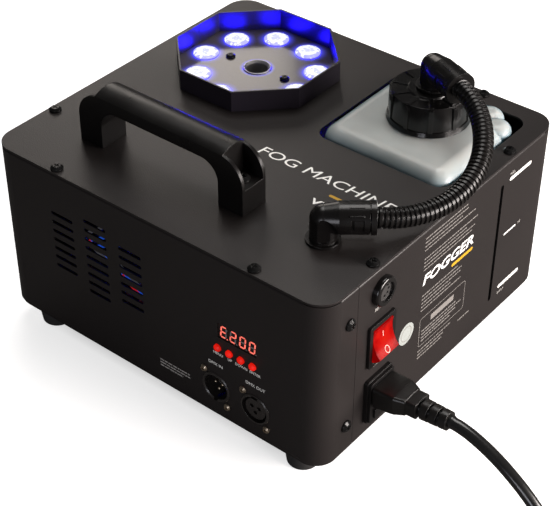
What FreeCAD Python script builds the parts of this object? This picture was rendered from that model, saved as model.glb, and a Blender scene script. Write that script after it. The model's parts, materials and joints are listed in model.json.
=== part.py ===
import FreeCAD, Part
import math
import os

os.makedirs("parts", exist_ok=True)
V = FreeCAD.Vector
UP = V(0, 0, 1)

# Housing, millimetres. Origin: middle of the footprint at the bottom of the feet, front is -Y.
WIDTH = 280.0
DEPTH = 262.0
CORNER_R = 16.0
FOOT_H = 17.0
PLATE_T = 1.5
SHEET_T = 1.2
BEND_R = 2.2
LID_Z = 150.6
SHELL_LOW = FOOT_H + PLATE_T
SHELL_HIGH = LID_Z - PLATE_T
TOP_FLANGE = 12.0
FLOOR_FLANGE = 20.0
BACK_X = WIDTH / 2
FRONT_Y = -DEPTH / 2
SEAM_Y = -98.3
SEAM_GAP = 0.3
TAB_LEN = 16.0
SEAM_SCREW_Y = -106.0
SEAM_SCREW_Z = (41.0, 125.0)
LID_SCREWS = [(-83, -126), (83, -126), (-134.5, -77), (134.5, -77), (134.5, 77), (83, 126), (-83, 126)]
FOOT_XY = [(sx * 113.0, sy * 113.5) for sx in (-1, 1) for sy in (-1, 1)]
FOOT_R = 13.0

# Screws: head radius, head height, shank radius
LID_SCREW = (4.3, 2.8, 1.9)
SMALL_SCREW = (2.65, 1.9, 1.45)
LED_SCREW = (3.5, 2.2, 1.45)
FOOT_SCREW = (4.2, 2.6, 1.9)
HANDLE_SCREW = (5.2, 3.2, 2.4)
FIT = 0.06

# Light and outlet group
LED_X, LED_Y = -63.0, 54.5
OCT_FLATS = 113.0
OCT_RISE = 15.5
LENS_COUNT = 9
LENS_RING_R = 43.0
LENS_R = 9.2
LENS_START = 30.0
LED_SCREW_X = 25.0
LED_SCREW_LEN = 11.0
SHROUD_FLANGE = 7.0
NOZZLE_BORE = 8.3
LED_PLATE_T = 1.4
LEDGE_T = 1.1
LED_BOARD_Z = (141.4, 143.0)

# Carrying handle
HANDLE_X = (-96.0, 44.5)
HANDLE_Y = -79.3
HANDLE_W = 22.5
HANDLE_H = 42.2
HANDLE_SIDE_H = 39.0
HANDLE_OUT_R = 19.0
HANDLE_IN_R = 14.0
HANDLE_WALL = 2.6
HANDLE_POCKET = 16.0
HANDLE_SCREW_INSET = 9.5
BAR_LOW_H = 31.0
LEG_LEN = 20.0
LEG_FLOOR_H = 18.5

# Fluid tank
CUT_X = (21.0, 125.5)
CUT_Y = (12.0, 116.5)
CUT_R = 10.0
TANK_X = (23.6, 124.4)
TANK_Y = (13.2, 115.0)
TANK_RISE = 6.5
TANK_WALL = 2.0
CAP_XY = (73.8, 70.0)
NECK_R = 24.0
CAP_R = 27.0
CAP_FLANGE_R = 28.8
CAP_LOW = 157.9
CAP_TOP = 179.2
RIB_COUNT = 10
BAY_T = 1.0
BAY_TOP = 97.0
TANK_FLOOR = 21.0
LOBE_R = 10.6
LOBES = ((101.5, 103.9), (113.4, 94.0))

# Quick-release elbows and corrugated hose
ELBOW_R = 10.5
STEM_R = 8.8
GLAND_XY = (96.9, -77.0)
GLAND_AXIS_Z = 167.2
GLAND_TURN = 39.0
GLAND_REACH = 31.8
CAP_ELBOW_XY = (74.8, 70.8)
CAP_ELBOW_Z = 196.2
CAP_ELBOW_TURN = -23.5
CAP_ELBOW_REACH = 32.0
HOSE_CREST_R = 6.7
HOSE_VALLEY_R = 5.7
HOSE_PITCH = 3.1
THREAD_R = 7.6
CAP_HOLE_R = 7.6
DIP_R = 3.2
HOSE_PULL_A = (42.7, -10.4, -3.2)
HOSE_PULL_B = (55.6, 57.3, -18.7)

# Front panel controls
DISPLAY_X = (57.0, 88.6)
DISPLAY_Z = (86.2, 98.4)
BUTTON_X = (56.8, 66.4, 75.9, 85.4)
BUTTON_Z = 77.4
BUTTON_R = 2.65
BUTTON_STAND = 1.0
BUTTON_DOME = 1.4
BUTTON_NAMES = ("menu", "up", "down", "enter")
XLR_X = (54.4, 87.0)
XLR_Z = 41.7
XLR_R = 12.0
XLR_SCREW = (9.5, 12.0)
XLR_STAND = 0.9
XLR_BEVEL = 0.7
XLR_WELL_R = 9.4
XLR_PIN_R = 1.2
XLR_PIN_RING_R = 3.7
VENT_X = (-77.8, -47.4, -16.8)
VENT_ROWS = (7, 9, 7)
VENT_Z = 94.5
VENT_PITCH = 7.3
VENT_LEN = 20.0
VENT_H = 2.7
DISPLAY_BOARD_Y = (-124.0, -122.4)

# Right side fittings
SIDE_Y = -74.0
REMOTE_Z = 131.6
ROCKER_Z = 92.0
ROCKER_Y = -73.0
ROCKER_TILT = 15.0
ROCKER_PIVOT_X = 137.5
INLET_Z = 47.0
SOCKET_Z = 52.6
FUSE_Z = 36.8
SLOT_Y = 63.2
SLOT_Z = (33.7, 133.0)
SLOT_W = 3.5
REMOTE_R = 10.4
REMOTE_RING_R = 4.0
REMOTE_BODY_R = 8.8
ROCKER_BODY = (12.4, 15.2)
ROCKER_HALF_Y = 10.2
ROCKER_R = 13.2
INLET_BODY = (12.0, 15.0)
INLET_FACE_X = BACK_X + 5.0
PLUG_HALF = (10.6, 6.9)
FUSE_HALF = (7.5, 2.7)
PIN_YZ = ((-7.0, -1.5), (0.0, 2.0), (7.0, -1.5))
PLUG_TILT = 3.0
PLUG_GAP = 0.9
PLUG_GRIP_LEN = 15.0
PLUG_BIG = (12.0, 8.3)
PLUG_MID = (11.5, 7.2)
PLUG_SMALL = (8.8, 6.2)
PLUG_RISE = 0.9
RELIEF_PITCH = 6.8
PLUG_BODY_LEN = 22.0
RELIEF_RINGS = 3
CORD_R = 4.1
RECT = ((-1, -1), (1, -1), (1, 1), (-1, 1), (-1, -1))

# Inside
HEATER_X = (-110.0, -16.0)
HEATER_Y = (26.5, 82.5)
HEATER_Z = (67.0, 101.0)
INSULATION_T = 6.0
ELEMENT_R = 4.0
ELEMENT_HALF = 17.0
INLET_PORT_Y, INLET_PORT_Z = 54.5, 93.0
CUTOUT_XY = (-97.0, 54.5)
CUTOUT_R = 8.0
PUMP_X, PUMP_Y = 58.0, -35.0
PUMP_Z = (45.0, 103.0)
PUMP_R = 7.0
PLUNGER_R = 4.6
PLUNGER_Z = PUMP_Z[0] + 18
PLUNGER_LEN = 14.0
BEND_TUBE_R = 9.0
WIRE_R = 1.1
TUBE_R = 3.6
NIPPLE_R = 2.6
COIL_Z = (56.0, 92.0)
SPRING_TOP = PUMP_Z[1] - 8 - 0.05
BOARD_X = (-118.0, -4.0)
BOARD_Y = (-112.0, -36.0)
BOARD_Z = 27.0
BOARD_T = 1.6

def box(x, y, z):
    return Part.makeBox(x[1] - x[0], y[1] - y[0], z[1] - z[0], V(x[0], y[0], z[0]))


def cyl(r, length, base, axis=UP):
    return Part.makeCylinder(r, length, V(*base), V(*axis))


def cone(r0, r1, length, base, axis=UP):
    return Part.makeCone(r0, r1, length, V(*base), V(*axis))


def ring(r_out, r_in, length, base, axis=UP):
    return cyl(r_out, length, base, axis).cut(cyl(r_in, length, base, axis))


def rounded(x, y, z, r):
    """Upright prism with rounded vertical corners."""
    shape = box(x, y, z)
    edges = [e for e in shape.Edges if abs(e.tangentAt(e.FirstParameter).z) > 0.9]
    return shape.makeFillet(r, edges)


def fuse(shapes):
    return shapes[0].multiFuse(shapes[1:]).removeSplitter()


def cut(shape, tools):
    return shape.cut(Part.makeCompound(tools)) if tools else shape


def prism(points, direction):
    """Solid from a closed outline pushed along a direction."""
    wire = Part.makePolygon([V(*p) for p in points] + [V(*points[0])])
    return Part.Face(wire).extrude(V(*direction))


def octagon(flats, z0, z1):
    r = flats / 2 / math.cos(math.pi / 8)
    pts = []
    for k in range(8):
        a = math.pi / 8 + k * math.pi / 4
        pts.append((LED_X + r * math.cos(a), LED_Y + r * math.sin(a), z0))
    return prism(pts, (0, 0, z1 - z0))


def turned(shape, point, axis, angle):
    out = shape.copy()
    out.rotate(V(*point), V(*axis), angle)
    return out


def moved(shape, x, y, z):
    out = shape.copy()
    out.translate(V(x, y, z))
    return out


def solids_of(shape):
    return shape if isinstance(shape, list) else [shape]


def save(name, shape):
    """Writes one sub-part; a list is a group of separate like solids."""
    solids = []
    for s in solids_of(shape):
        solids += s.Solids
    for s in solids:
        if not s.isValid():
            print("INVALID", name)
    out = solids[0] if len(solids) == 1 else Part.makeCompound(solids)
    out.exportStep("parts/%s.step" % name)


def pan_screw(spec, point, axis, length):
    """Pan head screw with a cross recess; the head stands on the point, the shank runs back."""
    head_r, head_h, shank_r = spec
    rim = head_h * 0.45
    head = cyl(head_r, rim, (0, 0, 0)).fuse(cone(head_r, head_r * 0.62, head_h - rim, (0, 0, rim)))
    slot_w, slot_d, slot_l = head_r * 0.2, head_h * 0.55, head_r * 1.1
    slots = [box((-slot_l / 2, slot_l / 2), (-slot_w / 2, slot_w / 2), (head_h - slot_d, head_h + 1)),
             box((-slot_w / 2, slot_w / 2), (-slot_l / 2, slot_l / 2), (head_h - slot_d, head_h + 1))]
    screw = cut(head, slots).fuse(cyl(shank_r, length, (0, 0, -length))).removeSplitter()
    screw.Placement = FreeCAD.Placement(V(*point), FreeCAD.Rotation(UP, V(*axis)))
    return screw


def channel(half, a, b, turn):
    """Panel with a bent flange along its top and bottom, facing -Y before it is turned."""
    y0, z0, z1 = -half, SHELL_LOW, SHELL_HIGH
    x = (a, b)
    outer = box(x, (y0, y0 + FLOOR_FLANGE), (z0, z1))
    edges = [e for e in outer.Edges
             if abs(e.CenterOfMass.y - y0) < 1e-6 and abs(e.tangentAt(e.FirstParameter).x) > 0.9]
    outer = outer.makeFillet(BEND_R, edges)
    inner = box(x, (y0 + SHEET_T, y0 + FLOOR_FLANGE + 1), (z0 + SHEET_T, z1 - SHEET_T))
    edges = [e for e in inner.Edges
             if abs(e.CenterOfMass.y - y0 - SHEET_T) < 1e-6
             and abs(e.tangentAt(e.FirstParameter).x) > 0.9]
    inner = inner.makeFillet(BEND_R - SHEET_T, edges)
    trim = box(x, (y0 + TOP_FLANGE, y0 + FLOOR_FLANGE + 1), (z1 - SHEET_T - 1, z1 + 1))
    return turned(outer.cut(inner).cut(trim), (0, 0, 0), (0, 0, 1), turn)


def corner_wall(sx, sy):
    """Rounded upright corner, a little lower than the flanges so the bends stay free."""
    cx, cy = sx * (BACK_X - CORNER_R), sy * (DEPTH / 2 - CORNER_R)
    z0, z1 = SHELL_LOW + 0.9, SHELL_HIGH - 0.9
    wall = ring(CORNER_R, CORNER_R - SHEET_T, z1 - z0, (cx, cy, z0))
    xs = sorted((cx, cx + sx * CORNER_R))
    ys = sorted((cy, cy + sy * CORNER_R))
    return wall.common(box(xs, ys, (z0, z1)))


def slot_x(x, z, length, height, y0, y1):
    """Round-ended slot cut through a panel that faces Y."""
    half = (length - height) / 2
    body = box((x - half, x + half), (y0, y1), (z - height / 2, z + height / 2))
    ends = [cyl(height / 2, y1 - y0, (x + s * half, y0, z), (0, 1, 0)) for s in (-1, 1)]
    return body.fuse(ends)


def vent_cuts(y0, y1, sign=1):
    cuts = []
    for x, rows in zip(VENT_X, VENT_ROWS):
        for k in range(rows):
            z = VENT_Z + (k - (rows - 1) / 2) * VENT_PITCH
            cuts.append(slot_x(sign * x, z, VENT_LEN, VENT_H, y0, y1))
    return cuts


def lid_screw_holes(r, z0, z1):
    return [cyl(r, z1 - z0, (x, y, z0)) for x, y in LID_SCREWS]


def foot_screw_holes(r):
    return [cyl(r, 6, (x, y, FOOT_H - 2)) for x, y in FOOT_XY]


def seam_holes(r):
    reach = 8
    return [cyl(r, reach, (s * (BACK_X - reach / 2) - reach / 2, SEAM_SCREW_Y, z), (1, 0, 0))
            for s in (-1, 1) for z in SEAM_SCREW_Z]


def front_shell():
    straight = BACK_X - CORNER_R
    side = DEPTH / 2 - CORNER_R
    parts = [channel(DEPTH / 2, -straight, straight, 0),
             corner_wall(-1, -1), corner_wall(1, -1),
             channel(BACK_X, -side, SEAM_Y, 90),
             channel(BACK_X, -SEAM_Y, side, -90)]
    shell = fuse(parts)
    y0, y1 = FRONT_Y - 1, FRONT_Y + 3
    cuts = vent_cuts(y0, y1)
    cuts.append(box(DISPLAY_X, (y0, y1), DISPLAY_Z))
    cuts += [cyl(BUTTON_R + 0.2, y1 - y0, (x, y0, BUTTON_Z), (0, 1, 0)) for x in BUTTON_X]
    for x in XLR_X:
        cuts.append(cyl(XLR_R, y1 - y0, (x, y0, XLR_Z), (0, 1, 0)))
        for s in (-1, 1):
            at = (x - s * XLR_SCREW[0], y0, XLR_Z + s * XLR_SCREW[1])
            cuts.append(cyl(SMALL_SCREW[2] + 0.2, y1 - y0, at, (0, 1, 0)))
    cuts += lid_screw_holes(LID_SCREW[2] + FIT, SHELL_HIGH - 3, SHELL_HIGH + 1)
    cuts += foot_screw_holes(FOOT_SCREW[2] + FIT)
    cuts += seam_holes(LID_SCREW[2] + 0.2)
    return cut(shell, cuts)


def side_tab(s):
    """Inset tab that runs behind the front shell and takes the seam screws."""
    x_out = BACK_X - SHEET_T - 0.05
    x = sorted((s * x_out, s * (x_out - SHEET_T)))
    z = (SHELL_LOW + 8, SHELL_HIGH - 8)
    tab = box(x, (SEAM_Y - TAB_LEN, SEAM_Y + 2.2), z)
    step_x = sorted((s * BACK_X, s * (x_out - SHEET_T)))
    return tab.fuse(box(step_x, (SEAM_Y + SEAM_GAP, SEAM_Y + 2.2), z))


def rear_shell():
    straight = BACK_X - CORNER_R
    side = DEPTH / 2 - CORNER_R
    start = SEAM_Y + SEAM_GAP
    parts = [channel(BACK_X, start, side, 90), channel(BACK_X, -side, -start, -90),
             corner_wall(1, 1), corner_wall(-1, 1),
             channel(DEPTH / 2, -straight, straight, 180),
             side_tab(-1), side_tab(1)]
    shell = fuse(parts)
    x0, x1 = BACK_X - 4, BACK_X + 1
    slot = box((x0, x1), (SLOT_Y - SLOT_W / 2, SLOT_Y + SLOT_W / 2),
               (SLOT_Z[0] + SLOT_W / 2, SLOT_Z[1] - SLOT_W / 2))
    cuts = [slot]
    cuts += [cyl(SLOT_W / 2, x1 - x0, (x0, SLOT_Y, z), (1, 0, 0))
             for z in (SLOT_Z[0] + SLOT_W / 2, SLOT_Z[1] - SLOT_W / 2)]
    cuts.append(cyl(REMOTE_BODY_R + 0.1, x1 - x0, (x0, SIDE_Y, REMOTE_Z), (1, 0, 0)))
    cuts.append(box((x0, x1), about(ROCKER_Y, ROCKER_BODY[0] + 0.1), about(ROCKER_Z, ROCKER_BODY[1] + 0.1)))
    cuts.append(box((x0, x1), about(SIDE_Y, INLET_BODY[0] + 0.1), about(INLET_Z, INLET_BODY[1] + 0.1)))
    cuts += vent_cuts(DEPTH / 2 - 3, DEPTH / 2 + 1, -1)
    cuts += lid_screw_holes(LID_SCREW[2] + FIT, SHELL_HIGH - 3, SHELL_HIGH + 1)
    cuts += foot_screw_holes(FOOT_SCREW[2] + FIT)
    cuts += seam_holes(LID_SCREW[2] + FIT)
    return cut(shell, cuts)


def about(c, half):
    return (c - half, c + half)


def outline_plate(inset, z0, z1):
    r = CORNER_R - inset
    return rounded((-BACK_X + inset, BACK_X - inset), (FRONT_Y + inset, -FRONT_Y - inset), (z0, z1), r)


def base_plate():
    plate = outline_plate(1.0, FOOT_H, SHELL_LOW)
    cuts = foot_screw_holes(FOOT_SCREW[2] + 0.15)
    for k in range(5):
        y = BOARD_Y[0] + 20 + 12 * k
        half = 26
        cuts.append(box((-60 - half, -60 + half), (y - 1.4, y + 1.4), (FOOT_H - 1, SHELL_LOW + 1)))
    return cut(plate, cuts)


def rubber_feet():
    feet = []
    for x, y in FOOT_XY:
        foot = cone(FOOT_R - 2.2, FOOT_R, FOOT_H, (x, y, 0))
        foot = foot.makeFillet(1.2, [e for e in foot.Edges if e.CenterOfMass.z < 0.1 and e.Length > 60])
        recess = cyl(FOOT_SCREW[0] + 1.2, FOOT_H - 4, (x, y, 0))
        feet.append(foot.cut(recess).cut(cyl(FOOT_SCREW[2] + 0.1, FOOT_H, (x, y, 0))))
    return feet


def foot_screws():
    length = SHELL_LOW + SHEET_T - (FOOT_H - 4)
    return [pan_screw(FOOT_SCREW, (x, y, FOOT_H - 4), (0, 0, -1), length) for x, y in FOOT_XY]


def top_plate():
    plate = outline_plate(0.0, SHELL_HIGH, LID_Z)
    cuts = [octagon(OCT_FLATS + 0.3, SHELL_HIGH - 1, LID_Z + 1),
            rounded(CUT_X, CUT_Y, (SHELL_HIGH - 1, LID_Z + 1), CUT_R),
            cyl(THREAD_R + 0.15, 8, (*GLAND_XY, SHELL_HIGH - 3))]
    cuts += lid_screw_holes(LID_SCREW[2] + 0.15, SHELL_HIGH - 1, LID_Z + 1)
    cuts += [cyl(HANDLE_SCREW[2] + FIT, 8, (x, HANDLE_Y, SHELL_HIGH - 4)) for x in handle_screw_x()]
    return cut(plate, cuts)


def top_plate_screws():
    return [pan_screw(LID_SCREW, (x, y, LID_Z), (0, 0, 1), 7) for x, y in LID_SCREWS]


def seam_screws():
    return [pan_screw(LID_SCREW, (s * BACK_X, SEAM_SCREW_Y, z), (s, 0, 0), 7)
            for s in (-1, 1) for z in SEAM_SCREW_Z]


# ---------------------------------------------------------------- handle

def handle_screw_x():
    return (HANDLE_X[0] + HANDLE_SCREW_INSET, HANDLE_X[1] - HANDLE_SCREW_INSET)


def carry_handle():
    """Crowned bar between two legs, each leg an open pocket between rounded side plates."""
    x0, x1 = HANDLE_X
    y0 = HANDLE_Y - HANDLE_W / 2
    side = LID_Z + HANDLE_SIDE_H
    plates = box(HANDLE_X, (y0, y0 + HANDLE_W), (LID_Z, side))
    plates = plates.makeFillet(HANDLE_OUT_R, edges_across(plates, side))
    c0, c1 = x0 + HANDLE_POCKET, x1 - HANDLE_POCKET
    low = V(c0, y0, side - 1)
    across, up = V(0, HANDLE_W, 0), V(0, 0, 1)
    arc = Part.Arc(low + across + up, V(c0, HANDLE_Y, LID_Z + HANDLE_H), low + up).toShape()
    lines = [Part.makeLine(low + up, low), Part.makeLine(low, low + across),
             Part.makeLine(low + across, low + across + up)]
    crown = Part.Face(Part.Wire(lines + [arc])).extrude(V(c1 - c0, 0, 0))
    top = LID_Z + BAR_LOW_H
    window = box((x0 + LEG_LEN, x1 - LEG_LEN), (y0, y0 + HANDLE_W), (LID_Z - 5, top))
    window = window.makeFillet(HANDLE_IN_R, edges_across(window, top))
    floor = LID_Z + LEG_FLOOR_H
    y = (y0 + HANDLE_WALL, y0 + HANDLE_W - HANDLE_WALL)
    cuts = [window, box((x0 - 1, c0), y, (floor, floor + 40)), box((c1, x1 + 1), y, (floor, floor + 40))]
    cuts += [cyl(HANDLE_SCREW[2] + 0.15, 40, (x, HANDLE_Y, LID_Z - 1)) for x in handle_screw_x()]
    return cut(plates.fuse(crown), cuts)


def edges_across(shape, z):
    """Edges of a box at height z that run along Y."""
    return [e for e in shape.Edges
            if abs(e.CenterOfMass.z - z) < 1e-6 and abs(e.tangentAt(e.FirstParameter).y) > 0.9]


def handle_screws():
    floor = LID_Z + LEG_FLOOR_H
    return [pan_screw(HANDLE_SCREW, (x, HANDLE_Y, floor), (0, 0, 1), LEG_FLOOR_H + 4)
            for x in handle_screw_x()]


# ---------------------------------------------------------------- light and outlet group

def lens_xy():
    step = 360.0 / LENS_COUNT
    angles = [math.radians(LENS_START + step * k) for k in range(LENS_COUNT)]
    return [(LED_X + LENS_RING_R * math.cos(a), LED_Y + LENS_RING_R * math.sin(a)) for a in angles]


def led_screw_xy():
    return [(LED_X + s * LED_SCREW_X, LED_Y) for s in (-1, 1)]


def led_shroud():
    """Eight-sided wall on a flange trapped under the lid, with the gap where its ends meet."""
    low = SHELL_HIGH - LEDGE_T
    wall = octagon(OCT_FLATS, low, LID_Z + OCT_RISE).cut(
        octagon(OCT_FLATS - 2 * SHEET_T, low - 1, LID_Z + OCT_RISE + 1))
    flange = octagon(OCT_FLATS + 2 * SHROUD_FLANGE, low, SHELL_HIGH).cut(
        octagon(OCT_FLATS - 9, low - 1, SHELL_HIGH + 1))
    x0 = LED_X - OCT_FLATS / 2
    seam = box((x0 - 1, x0 + SHEET_T + 0.2), about(LED_Y, 0.15), (SHELL_HIGH + 0.5, LID_Z + OCT_RISE + 1))
    return wall.fuse(flange).removeSplitter().cut(seam)


def led_plate():
    z0 = SHELL_HIGH + 0.02
    plate = octagon(OCT_FLATS - 2 * SHEET_T - 0.3, z0, z0 + LED_PLATE_T)
    cuts = [cyl(LENS_R - 0.7, 4, (x, y, z0 - 1)) for x, y in lens_xy()]
    cuts += [cyl(LED_SCREW[2] + 0.15, 4, (x, y, z0 - 1)) for x, y in led_screw_xy()]
    cuts.append(cyl(NOZZLE_BORE + 1.0, 4, (LED_X, LED_Y, z0 - 1)))
    return cut(plate, cuts)


def led_top():
    return SHELL_HIGH + 0.02 + LED_PLATE_T


def led_plate_screws():
    return [pan_screw(LED_SCREW, (x, y, led_top()), (0, 0, 1), LED_SCREW_LEN) for x, y in led_screw_xy()]


def led_lenses():
    lenses = []
    z = led_top()
    for x, y in lens_xy():
        rim = cyl(LENS_R, 0.8, (x, y, z + 0.02)).fuse(cone(LENS_R, LENS_R - 1.6, 0.9, (x, y, z + 0.82)))
        stub = cone(LENS_R - 3.4, LENS_R - 0.85, 4.2, (x, y, z - 4.6)).fuse(
            cyl(LENS_R - 0.85, 0.6, (x, y, z - 0.5)))
        lenses.append(fuse([rim, stub]))
    return lenses


def led_board():
    low = LED_BOARD_Z[0]
    board = octagon(OCT_FLATS - 14, *LED_BOARD_Z).cut(cyl(NOZZLE_BORE + 4, 4, (LED_X, LED_Y, low - 1)))
    post_h = SHELL_HIGH - LED_BOARD_Z[1]
    posts = [cyl(3.6, post_h, (x, y, LED_BOARD_Z[1])) for x, y in led_screw_xy()]
    board = fuse([board] + posts)
    return cut(board, [cyl(LED_SCREW[2] + FIT, 12, (x, y, low - 1)) for x, y in led_screw_xy()])


def led_emitters():
    z = LED_BOARD_Z[1]
    return [box(about(x, 2.2), about(y, 2.2), (z + 0.02, z + 1.2)) for x, y in lens_xy()]


def nozzle():
    z = led_top()
    flange = cone(NOZZLE_BORE + 2.2, NOZZLE_BORE + 1.4, 0.9, (LED_X, LED_Y, z + 0.02))
    low = z - 25.5
    body = cyl(NOZZLE_BORE + 0.9, z - low, (LED_X, LED_Y, low)).fuse(flange)
    bore = cyl(NOZZLE_BORE - 0.6, 40, (LED_X, LED_Y, low - 10))
    flare = cone(NOZZLE_BORE - 0.7, NOZZLE_BORE + 1.0, 1.7, (LED_X, LED_Y, z - 0.7))
    return body.removeSplitter().cut(bore).cut(flare)


# ---------------------------------------------------------------- heater

def element_path(r):
    """Cast-in heating rod: two straight legs joined by a half turn."""
    x_end, x_turn = HEATER_X[1] + 14, HEATER_X[0] + 28
    z = (HEATER_Z[0] + HEATER_Z[1]) / 2
    yc = (HEATER_Y[0] + HEATER_Y[1]) / 2
    legs = [cyl(r, x_end - x_turn, (x_turn, yc + s * ELEMENT_HALF, z), (1, 0, 0)) for s in (-1, 1)]
    torus = Part.makeTorus(ELEMENT_HALF, r, V(x_turn, yc, z), UP)
    return fuse([torus.common(box((x_turn - 40, x_turn), about(yc, 40), about(z, 10)))] + legs)


def heater_block():
    """Cast block with the rod cast in, an inlet port on its side and a jet tube up to the nozzle."""
    block = rounded(HEATER_X, HEATER_Y, HEATER_Z, 5)
    root = (LED_X, LED_Y, HEATER_Z[1] - 2)
    chimney = cyl(5.0, 28, root).fuse(cyl(8.0, 6, root))
    port = cyl(4.5, 7.8, (HEATER_X[1] - 1, INLET_PORT_Y, INLET_PORT_Z), (1, 0, 0)).fuse(
        cyl(NIPPLE_R, 14, (HEATER_X[1] - 1, INLET_PORT_Y, INLET_PORT_Z), (1, 0, 0)))
    block = fuse([block, chimney, port])
    bores = [element_path(ELEMENT_R + 0.05),
             cyl(2.0, 44, (LED_X, LED_Y, HEATER_Z[1] - 14)),
             cyl(1.4, 30, (HEATER_X[1] - 12, INLET_PORT_Y, INLET_PORT_Z), (1, 0, 0))]
    return cut(block, bores)


def heater_element():
    rod = element_path(ELEMENT_R)
    x_end = HEATER_X[1] + 14
    z = (HEATER_Z[0] + HEATER_Z[1]) / 2
    yc = (HEATER_Y[0] + HEATER_Y[1]) / 2
    pins = [cyl(1.4, 9, (x_end - 1, yc + s * ELEMENT_HALF, z), (1, 0, 0)) for s in (-1, 1)]
    return fuse([rod] + pins)


def grown(r, extra):
    return (r[0] - extra, r[1] + extra)


def heater_insulation():
    gap = 0.3
    outer = rounded(grown(HEATER_X, INSULATION_T), grown(HEATER_Y, INSULATION_T),
                    grown(HEATER_Z, INSULATION_T), 8)
    inner = box(grown(HEATER_X, gap), grown(HEATER_Y, gap), grown(HEATER_Z, gap))
    z = (HEATER_Z[0] + HEATER_Z[1]) / 2
    yc = (HEATER_Y[0] + HEATER_Y[1]) / 2
    holes = [inner, cyl(9, 20, (LED_X, LED_Y, HEATER_Z[1] - 1)),
             cyl(CUTOUT_R + 0.5, 20, (*CUTOUT_XY, HEATER_Z[1] - 1)),
             cyl(5.2, 12, (HEATER_X[1] - 1, INLET_PORT_Y, INLET_PORT_Z), (1, 0, 0))]
    holes += [cyl(ELEMENT_R + 0.6, 12, (HEATER_X[1] - 1, yc + s * ELEMENT_HALF, z), (1, 0, 0))
              for s in (-1, 1)]
    return cut(outer, holes)


def thermal_cutout():
    z = HEATER_Z[1] + 0.02
    disc = cyl(CUTOUT_R, 5, (*CUTOUT_XY, z)).fuse(cyl(CUTOUT_R - 2, 6, (*CUTOUT_XY, z + 5)))
    tabs = [box(about(CUTOUT_XY[0] + s * 3.2, 0.4), about(CUTOUT_XY[1], 3), (z + 10, z + 19))
            for s in (-1, 1)]
    return fuse([disc] + tabs)


def heater_bracket():
    """Bent cradle that stands on the base plate and carries the insulated block."""
    t = 1.5
    x = grown(HEATER_X, INSULATION_T + 0.2)
    floor_z = HEATER_Z[0] - INSULATION_T - 0.05
    y = (HEATER_Y[0] + 6, HEATER_Y[1] - 6)
    deck = box((x[0] - t, x[1] + t), y, (floor_z - t, floor_z))
    legs = [box((x[0] - t, x[0]), y, (SHELL_LOW + 0.05, HEATER_Z[0] + 8)),
            box((x[1], x[1] + t), y, (SHELL_LOW + 0.05, HEATER_Z[0] + 8))]
    feet = [box((x[0] - t, x[0] + 10), y, (SHELL_LOW + 0.05, SHELL_LOW + 0.05 + t)),
            box((x[1] - 10, x[1] + t), y, (SHELL_LOW + 0.05, SHELL_LOW + 0.05 + t))]
    return fuse([deck] + legs + feet)


# ---------------------------------------------------------------- pump

def pump_body():
    z0, z1 = PUMP_Z
    tube = cyl(PUMP_R, z1 - z0, (PUMP_X, PUMP_Y, z0))
    nipples = [cyl(NIPPLE_R, 3.9, (PUMP_X, PUMP_Y, z1 - 1)), cyl(NIPPLE_R, 2.8, (PUMP_X, PUMP_Y, z0 - 1.8))]
    body = fuse([tube] + nipples)
    cavity = cyl(PLUNGER_R, z1 - z0 - 16, (PUMP_X, PUMP_Y, z0 + 8))
    return cut(body, [cavity, cyl(1.3, z1 - z0 + 20, (PUMP_X, PUMP_Y, z0 - 10))])


def pump_plunger():
    """Moving slug with a narrow end that guides the spring."""
    base = (PUMP_X, PUMP_Y, PLUNGER_Z)
    rod = cyl(PLUNGER_R - 0.05, PLUNGER_LEN, base).fuse(cyl(1.9, PLUNGER_LEN + 3, base))
    return rod.removeSplitter().cut(cyl(0.9, 40, (PUMP_X, PUMP_Y, PLUNGER_Z - 2)))


def pump_spring():
    """Return spring between the plunger and the end of the bore."""
    low = PLUNGER_Z + PLUNGER_LEN + 0.45
    wire_r, coil_r = 0.4, 3.3
    height = SPRING_TOP - low - wire_r
    helix = Part.makeHelix(2.4, height, coil_r)
    profile = Part.Wire(Part.makeCircle(wire_r, V(coil_r, 0, 0), V(0, 1, 0)))
    spring = Part.Wire(helix).makePipeShell([profile], True, True)
    return moved(spring, PUMP_X, PUMP_Y, low)


def pump_coil():
    z0, z1 = COIL_Z
    coil = cyl(16.0, z1 - z0 - 4, (PUMP_X, PUMP_Y, z0 + 2))
    ends = [cyl(18.0, 2, (PUMP_X, PUMP_Y, z0)), cyl(18.0, 2, (PUMP_X, PUMP_Y, z1 - 2))]
    return fuse([coil] + ends).cut(cyl(PUMP_R + 0.1, 60, (PUMP_X, PUMP_Y, z0 - 5)))


def pump_frame():
    t, half, reach = 3.0, 19.0, 21.0
    z0, z1 = COIL_Z[0] - t - 0.05, COIL_Z[1] + t + 0.05
    yoke = box((PUMP_X - reach, PUMP_X + reach), about(PUMP_Y, half), (z0, z1))
    hollow = box((PUMP_X - reach - 1, PUMP_X + reach - t), about(PUMP_Y, half + 1), (z0 + t, z1 - t))
    stand = box((PUMP_X + reach - t, PUMP_X + reach), about(PUMP_Y, 12), (SHELL_LOW + 0.05, z0 + 5))
    foot = box((PUMP_X + reach - t, PUMP_X + reach + 16), about(PUMP_Y, 12),
               (SHELL_LOW + 0.05, SHELL_LOW + 2))
    frame = fuse([yoke.cut(hollow), stand, foot])
    return frame.cut(cyl(PUMP_R + 0.05, 80, (PUMP_X, PUMP_Y, z0 - 5)))


def bezier(poles):
    curve = Part.BezierCurve()
    curve.setPoles([V(*p) for p in poles])
    return curve.toShape()


def through(points, leave, arrive):
    """Smooth curve through points, with the directions it leaves and arrives in."""
    curve = Part.BSplineCurve()
    curve.interpolate(Points=[V(*p) for p in points], InitialTangent=V(*leave), FinalTangent=V(*arrive))
    return curve.toShape()


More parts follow.
